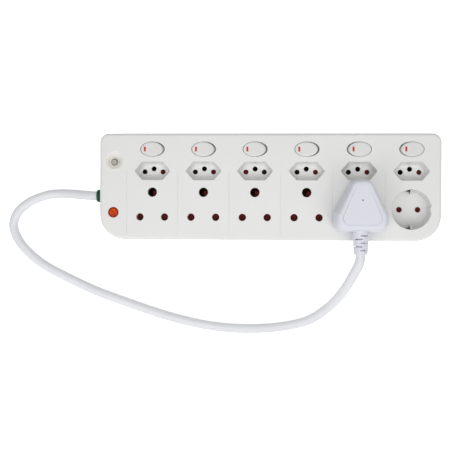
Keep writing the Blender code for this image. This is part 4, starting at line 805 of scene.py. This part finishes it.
def make_breaker_parts():
    """The nut and the reset button in the dish."""
    low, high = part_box("breaker_nut")
    inner = 3.95 * MM
    outer = (high.x - low.x) / 2
    edge = 0.35 * MM
    profile = [(inner, low.z), (outer, low.z), (outer, high.z - edge), (outer - edge, high.z),
               (inner + edge, high.z), (inner, high.z - edge)]
    nut = lathe("breaker_collar", profile, (BUTTON.x, BUTTON.y, 0.0), "Z", 48, loop=True)
    # The nut wears the brightened white, painted light against the shade at the dish's floor.
    show("breaker_collar", nut, NUT_PAINTED_LIGHT, "housing", ["breaker_nut"])
    low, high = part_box("reset_button")
    radius = (high.x - low.x) / 2
    edge = 0.6 * MM
    profile = [(radius, low.z), (radius, high.z - edge)]
    profile += [(radius - inset, height) for inset, height in quarter((0.0, high.z - edge), (edge, high.z), 5)]
    profile += [(radius * 0.5, high.z - 0.12 * MM), (0.1 * MM, high.z - 0.2 * MM)]
    button = lathe("reset_knob", profile, (BUTTON.x, BUTTON.y, 0.0), "Z", 40)
    show("reset_knob", button, BUTTON_FINISH, "reset_button", ["reset_button"])


def make_earth_spring():
    """The round socket's earth contact: a bent strip whose two arms bow into the recess.

    Each arm's distance from the middle is that of the wall less a bulge that
    goes with the square of the sine of the height; a bar joins the arms below.
    """
    low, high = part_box("well_earth_clip")
    half = 0.3 * MM
    floor = FACE - WELL_DEPTH
    reach = high.y - WELL_Y - half
    share = np.linspace(0.0, 1.0, 25)
    tall = high.z - 0.5 * MM - floor
    arm = np.stack((reach - SPRING_BULGE * np.sin(share * np.pi) ** 2, floor + share * tall), axis=1)
    arm = np.vstack(((reach, low.z + half + 0.8 * MM), (reach, floor - 0.2 * MM), arm))
    foot = np.array(((reach - 0.8 * MM, low.z + half),))
    line = np.vstack((arm[::-1], foot, foot * (-1, 1), arm * (-1, 1)))
    ahead = np.gradient(line, axis=0)
    ahead /= np.linalg.norm(ahead, axis=1, keepdims=True)
    side = np.stack((-ahead[:, 1], ahead[:, 0]), axis=1) * half
    rings = []
    for near, far in zip(line - side, line + side):
        rings.append([(x, *spot) for x, spot in ((SPRING_LEFT, near), (SPRING_LEFT, far), (SPRING_RIGHT, far),
                                                 (SPRING_RIGHT, near))])
    spring = ring_mesh("earth_spring", np.array(rings) + (WELL_X, WELL_Y, 0.0))
    show("earth_spring", spring, TIN, "housing", ["well_earth_clip"])


def make_lens():
    """The lamp's domed lens with its flange behind the face."""
    low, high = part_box("lamp_lens")
    flange = (high.x - low.x) / 2
    turn = np.linspace(0, np.pi / 2, 8)
    dome = [(LENS * math.sin(t), FACE - 0.4 * MM + (high.z - FACE + 0.4 * MM) * math.cos(t)) for t in turn[1:]]
    profile = [(3.9 * MM, low.z), (flange, low.z), (flange, FACE - COVER_WALL - 0.3 * MM),
               (LENS, FACE - COVER_WALL - 0.3 * MM)] + dome[::-1] + [(0.1 * MM, high.z)]
    inside = [(0.1 * MM, FACE - 0.9 * MM), (3.9 * MM, FACE - 1.4 * MM)]
    lens = lathe("signal_lens", inside + profile, (LAMP.x, LAMP.y, 0.0), "Z", 48)
    show("signal_lens", lens, LAMP_FINISH, "housing", ["lamp_lens"])


# ---- Gland and cord ---------------------------------------------------------
def make_gland():
    """The gland's dome outside the wall, its neck, flange and taper inside."""
    low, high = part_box("cord_gland")
    proud = -HALF_LENGTH - low.x
    tail = high.x + HALF_LENGTH
    gap = 0.3 * MM
    inside = gap - COVER_WALL - 0.6 * MM
    dome = [(GLAND_DOME - inset, height) for inset, height in quarter((0.0, proud - 2.0 * MM), (0.9 * MM, proud), 6)]
    ribs = []
    for index in range(3):
        at = 1.2 * MM + index * 1.5 * MM
        ribs += [(GLAND_DOME, at), (GLAND_DOME - 0.3 * MM, at + 0.25 * MM), (GLAND_DOME - 0.3 * MM, at + 0.55 * MM),
                 (GLAND_DOME, at + 0.8 * MM)]
    profile = [(GLAND_BORE, -tail), (GLAND_BORE + 0.6 * MM, -tail), (GLAND_NECK, inside - 2.5 * MM),
               (GLAND_FLANGE, inside - 2 * MM), (GLAND_FLANGE, inside), (GLAND_NECK, inside), (GLAND_NECK, gap),
               (GLAND_DOME, gap)] + ribs + dome + [(GLAND_BORE + 0.2 * MM, proud), (GLAND_BORE, proud - 0.6 * MM)]
    gland = lathe("entry_gland", profile, (-HALF_LENGTH, GLAND.y, GLAND.z), "-X", 48, loop=True)
    return show("entry_gland", gland, GREEN, "housing", ["cord_gland"])


CORD_REACH = 3 * MM             # how far the sheath runs on into the boot
CORD_ROUTE = (
    (-0.1490, -0.0093, 0.0190),
    (-0.1650, -0.0093, 0.0190),
    (-0.1800, -0.0093, 0.0190),
    (-0.1880, -0.0091, 0.0182),
    (-0.1980, -0.0083, 0.0147),
    (-0.2090, -0.0074, 0.0098),
    (-0.2230, -0.0068, 0.0060),
    (-0.2390, -0.0082, 0.0050),
    (-0.2600, -0.0165, 0.0050),
    (-0.2730, -0.0285, 0.0050),
    (-0.2768, -0.0415, 0.0050),
    (-0.2716, -0.0565, 0.0050),
    (-0.2595, -0.0710, 0.0050),
    (-0.2420, -0.0845, 0.0050),
    (-0.2180, -0.0970, 0.0050),
    (-0.1860, -0.1115, 0.0050),
    (-0.1480, -0.1250, 0.0050),
    (-0.1100, -0.1372, 0.0050),
    (-0.0700, -0.1466, 0.0050),
    (-0.0300, -0.1505, 0.0050),
    (0.0100, -0.1485, 0.0050),
    (0.0370, -0.1430, 0.0050),
    (0.0460, -0.1392, 0.0051),
    (0.0538, -0.1344, 0.0066),
    (0.0620, -0.1275, 0.0107),
    (0.0687, -0.1198, 0.0180),
    (0.0738, -0.1117, 0.0288),
    (0.0780, -0.1030, 0.0420),
    (0.0820, -0.0945, 0.0500),
    (0.0858, -0.0860, 0.0549),
    (0.0896, -0.0780, 0.0574),
    (0.0911, -0.0722, 0.0580),
    (0.0913, -0.0685, 0.0580),
)


def cord_line(count=360):
    """Evenly spaced points on a centripetal curve through the route's points."""
    knots = np.array(CORD_ROUTE)
    ends = np.vstack((2 * knots[0] - knots[1], knots, 2 * knots[-1] - knots[-2]))
    a, b, c, d = (ends[i:len(ends) - 3 + i, None, :] for i in range(4))
    t1 = np.linalg.norm(b - a, axis=2, keepdims=True) ** 0.5
    t2 = t1 + np.linalg.norm(c - b, axis=2, keepdims=True) ** 0.5
    t3 = t2 + np.linalg.norm(d - c, axis=2, keepdims=True) ** 0.5
    t = t1 + (t2 - t1) * np.linspace(0, 1, 24, endpoint=False)[None, :, None]
    ab = a * (t1 - t) / t1 + b * t / t1
    bc = b * (t2 - t) / (t2 - t1) + c * (t - t1) / (t2 - t1)
    cd = c * (t3 - t) / (t3 - t2) + d * (t - t2) / (t3 - t2)
    abc = ab * (t2 - t) / t2 + bc * t / t2
    bcd = bc * (t3 - t) / (t3 - t1) + cd * (t - t1) / (t3 - t1)
    fine = (abc * (t2 - t) / (t2 - t1) + bcd * (t - t1) / (t2 - t1)).reshape(-1, 3)
    fine = np.vstack((fine, knots[-1]))
    reach = np.concatenate(([0.0], np.cumsum(np.linalg.norm(np.diff(fine, axis=0), axis=1))))
    marks = np.linspace(0.0, reach[-1], count)
    return np.stack([np.interp(marks, reach, fine[:, axis]) for axis in range(3)], axis=1), reach[-1]


def make_cord():
    """A round sheath along the cord's line: a circle square to the line at every point."""
    line, length = cord_line()
    line = np.vstack((line, line[-1] + (line[-1] - line[-2]) / np.linalg.norm(line[-1] - line[-2]) * CORD_REACH))
    ahead = np.gradient(line, axis=0)
    ahead /= np.linalg.norm(ahead, axis=1, keepdims=True)
    aside = np.cross(ahead, (0.0, 0.0, 1.0))
    aside /= np.linalg.norm(aside, axis=1, keepdims=True)
    up = np.cross(aside, ahead)
    ring = circle(CORD_RADIUS, 28)
    rings = line[:, None, :] + ring[None, :, :1] * aside[:, None, :] + ring[None, :, 1:] * up[:, None, :]
    cord = show("mains_cord", ring_mesh("mains_cord", rings[:, ::-1]), CORD_FINISH, None, ["supply_cord"], 60.0)
    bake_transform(cord)


# ---- Plug -------------------------------------------------------------------
CORD_GRIP = 4 * MM              # depth of the boot's bore
PLUG_LOW, PLUG_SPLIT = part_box("plug_base")
PLUG_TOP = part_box("plug_cover")[1].z
PLUG_OUTLINE = [(-27.3 * MM, -45.8 * MM, 11 * MM), (27.3 * MM, -45.8 * MM, 11 * MM), (27.3 * MM, -27 * MM, 11 * MM),
                (8.5 * MM, 7.5 * MM, 8.5 * MM), (-8.5 * MM, 7.5 * MM, 8.5 * MM), (-27.3 * MM, -27 * MM, 11 * MM)]
PANEL_OUTLINE = [(-15.5 * MM, -37.8 * MM, 5 * MM), (15.5 * MM, -37.8 * MM, 5 * MM), (19.3 * MM, -32 * MM, 5 * MM),
                 (5.4 * MM, MM, 3 * MM), (-5.4 * MM, MM, 3 * MM), (-19.3 * MM, -32 * MM, 5 * MM)]
BOOT_HEIGHT = middle("plug_boot").z
PLUG_STEPS = 10                 # faces round a corner of the plug
FLANK_FOOT = 4.2 * MM
PANEL_STEP = 1.3 * MM
FADE_START = -35 * MM
FADE_LENGTH = 17 * MM
COLLAR_RADIUS = 7.5 * MM
BOOT_NECK = 5.9 * MM
SLOT_FIRST = -48.9 * MM
SLOT_PITCH = 3.6 * MM
SLOT_HALF = 0.65 * MM
SLOT_CORE = 4.9 * MM


def boot_collar():
    """Half of a round collar on the plug's front, which meets the boot's shoulder."""
    turn = np.linspace(0.0, np.pi, 25)
    rings = []
    for reach in (36 * MM, 45.95 * MM):
        rings.append(np.stack((PLUG_X + COLLAR_RADIUS * np.cos(turn), np.full(25, -reach),
                               BOOT_HEIGHT + COLLAR_RADIUS * np.sin(turn)), axis=1))
    return ring_mesh("collar", rings)


def neck_notch():
    """The notch for the boot's neck."""
    return lathe("drill", [(BOOT_NECK, 40 * MM), (BOOT_NECK, 52 * MM)], (PLUG_X, 0.0, BOOT_HEIGHT), "-Y", 40)


def make_plug_base():
    """The pin side: a drafted tray with soft lower edges."""
    low = PLUG_LOW.z
    high = PLUG_SPLIT.z
    profile = [(2.4 * MM, low)] + quarter((2.4 * MM, low), (1.4 * MM, low + 0.9 * MM), 3, bulge=False)
    profile += [(0.6 * MM, low + 4 * MM), (0.1 * MM, high - 1.2 * MM), (0.0, high - 0.5 * MM), (0.35 * MM, high)]
    hollow = [(4.0 * MM, low + 3.4 * MM), (2.9 * MM, high), (2.9 * MM, high + 0.5 * MM)]
    pocket = drawn("pocket", PLUG_OUTLINE, hollow, PLUG_STEPS, PLUG_X)
    drills = [neck_notch()]
    for name in ("live", "neutral", "earth"):
        pin_low, pin_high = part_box(f"plug_pin_{name}")
        radius = (pin_high.x - pin_low.x) / 2 + 0.25 * MM
        spot = middle(f"plug_pin_{name}")
        drills.append(pillar("drill", circle(radius, 32), low - MM, low + 3.9 * MM, spot.x, spot.y))
    mesh = carved(drawn("plug_tray", PLUG_OUTLINE, profile, PLUG_STEPS, PLUG_X),
                  [("DIFFERENCE", [pocket]), ("DIFFERENCE", drills)])
    return show("plug_tray", mesh, PLUG, "plug", ["plug_base"])


def faded(ring, lift):
    """A ring of the cover, raised towards the earth end so that the panel's step dies out there."""
    share = np.clip((ring[:, 1] - FADE_START) / FADE_LENGTH, 0, 1)
    ring[:, 2] += lift * share * share * (3 - 2 * share)
    return ring


def make_plug_cover():
    """The hand side: flanks that rise to a raised panel with a step round it.

    A flank rises as one less the fourth power of the way left to the panel, to the power 0.8.
    """
    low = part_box("plug_cover")[0].z
    foot = low + FLANK_FOOT
    shoulder = PLUG_TOP - PANEL_STEP
    rings = []
    for inset, height in ((0.35 * MM, low), (0.0, low + 0.5 * MM), (0.15 * MM, low + 2.2 * MM), (0.7 * MM, foot)):
        rings.append(level(polygon(PLUG_OUTLINE, inset, PLUG_STEPS), height, PLUG_X))
    start = polygon(PLUG_OUTLINE, 0.7 * MM, PLUG_STEPS)
    goal = polygon(PANEL_OUTLINE, -1.3 * MM, PLUG_STEPS)
    lift = PLUG_TOP - 0.2 * MM - shoulder
    for share in np.linspace(0, 1, 17)[1:] ** 1.4:
        rise = (1 - (1 - share) ** 4) ** 0.8
        rings.append(faded(level(start + (goal - start) * share, foot + (shoulder - foot) * rise, PLUG_X),
                           lift * share))
    for inset, sunk in ((-0.75 * MM, 0.0), (-0.55 * MM, 0.35 * MM), (-0.20 * MM, 0.45 * MM), (0.0, 0.2 * MM)):
        rings.append(faded(level(polygon(PANEL_OUTLINE, inset, PLUG_STEPS), shoulder - sunk, PLUG_X), lift + sunk))
    for inset, height in quarter((0.0, PLUG_TOP - 0.6 * MM), (0.6 * MM, PLUG_TOP), 4):
        rings.append(faded(level(polygon(PANEL_OUTLINE, inset, PLUG_STEPS), height, PLUG_X),
                           0.8 * (PLUG_TOP - height)))
    inner = [level(polygon(corners, inset, PLUG_STEPS), height, PLUG_X) for corners, inset, height in
             ((PLUG_OUTLINE, 2.6 * MM, low - MM), (PLUG_OUTLINE, 2.6 * MM, low),
              (PLUG_OUTLINE, 3.6 * MM, low + 4.5 * MM), (PANEL_OUTLINE, 1.6 * MM, shoulder - 2.6 * MM))]
    screw = middle("plug_screw")
    hole = lathe("drill", [(1.5 * MM, shoulder - 4 * MM), (1.5 * MM, PLUG_TOP - 1.4 * MM),
                           (0.7 * MM, PLUG_TOP - 1.3 * MM), (0.7 * MM, PLUG_TOP - 0.2 * MM), (0.9 * MM, PLUG_TOP),
                           (0.9 * MM, PLUG_TOP + MM)], (screw.x, screw.y, 0.0), "Z", 32)
    mesh = carved(ring_mesh("plug_back", rings), [("UNION", [boot_collar()]),
                                                  ("DIFFERENCE", [ring_mesh("inner", inner)]),
                                                  ("DIFFERENCE", [neck_notch(), hole])])
    cover = show("plug_back", mesh, PLUG, "plug", ["plug_cover"], 30.0)
    weigh_normals(cover)
    return cover


def make_boot():
    """The strain relief: a tapered round boot with half slots from either side in turn."""
    low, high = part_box("plug_boot")
    outside = -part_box("plug_cover")[0].y + 0.06 * MM
    end = -low.y
    inside = -high.y
    profile = [(0.1 * MM, end - CORD_GRIP), (0.1 * MM, inside), (5.6 * MM, inside), (5.6 * MM, outside),
               (7.4 * MM, outside), (7.7 * MM, outside + 0.3 * MM), (7.7 * MM, outside + 4 * MM)]
    profile += [(6.9 * MM, end - 0.8 * MM)] + [(6.9 * MM - inset, height) for inset, height
                                               in quarter((0.0, end - 0.8 * MM), (0.8 * MM, end), 4)]
    profile += [(5.1 * MM, end), (5.0 * MM, end - 0.3 * MM), (5.0 * MM, end - CORD_GRIP)]
    slots = []
    for index in range(5):
        side = 1 if index % 2 == 0 else -1
        left, right = sorted((PLUG_X - side * 0.8 * MM, PLUG_X + side * 6.3 * MM))
        front = SLOT_FIRST - index * SLOT_PITCH - SLOT_HALF
        rear = SLOT_FIRST - index * SLOT_PITCH + SLOT_HALF
        ring = polygon([(x, y, 0.5 * MM) for x, y in ((left, front), (right, front), (right, rear), (left, rear))],
                       0.0, 4)
        slots.append(pillar("slot", ring, BOOT_HEIGHT - 12 * MM, BOOT_HEIGHT + 12 * MM))
    core = lathe("core", [(SLOT_CORE, 40 * MM), (SLOT_CORE, 80 * MM)], (PLUG_X, 0.0, BOOT_HEIGHT), "-Y", 40)
    cutter = carved(gathered("slots", slots), [("DIFFERENCE", [core])])
    mesh = carved(lathe("plug_sleeve", profile, (PLUG_X, 0.0, BOOT_HEIGHT), "-Y", 48), [("DIFFERENCE", [cutter])])
    return show("plug_sleeve", mesh, PLUG, "plug", ["plug_boot"], 40.0)


# ---- Carried-over nodes -----------------------------------------------------
def finish_nodes():
    """Gives every node that stays in view or inside its finish."""
    # The brass slot gets the brass painted nearly black as the shade inside the socket holes.
    finishes = {"housing": HOUSING, "plug": PLUG, "cord": CORD_FINISH, "shutter": SHUTTER, "switch_grey": DARK,
                "lamp": LAMP_FINISH, "bulb": LAMP_FINISH, "gland": GREEN, "brass": BRASS_PAINTED_SHADE, "steel": STEEL,
                "button": BUTTON_FINISH}
    for entry in frame["record"]["subparts"]:
        node = frame["nodes"][entry["node"]]
        node.data.materials.clear()
        node.data.materials.append(finishes[entry["material_slot"]])
    others = {"overload_breaker": BUSH, "plug_pin_live": PIN_BRASS, "plug_pin_neutral": PIN_BRASS,
              "plug_pin_earth": PIN_BRASS, "plug_screw": DARK}
    for name, finish in others.items():
        frame["nodes"][name].data.materials[0] = finish


make_camera()
make_studio()
finish_nodes()
make_cover()
make_tray()
for number in COLUMNS:
    make_rocker(number)
make_breaker_parts()
make_lens()
make_earth_spring()
gland = make_gland()
plug_pieces = [make_plug_base(), make_plug_cover(), make_boot()]
plug_pieces += ["plug_pin_live", "plug_pin_neutral", "plug_pin_earth", "plug_screw"]
make_cord()
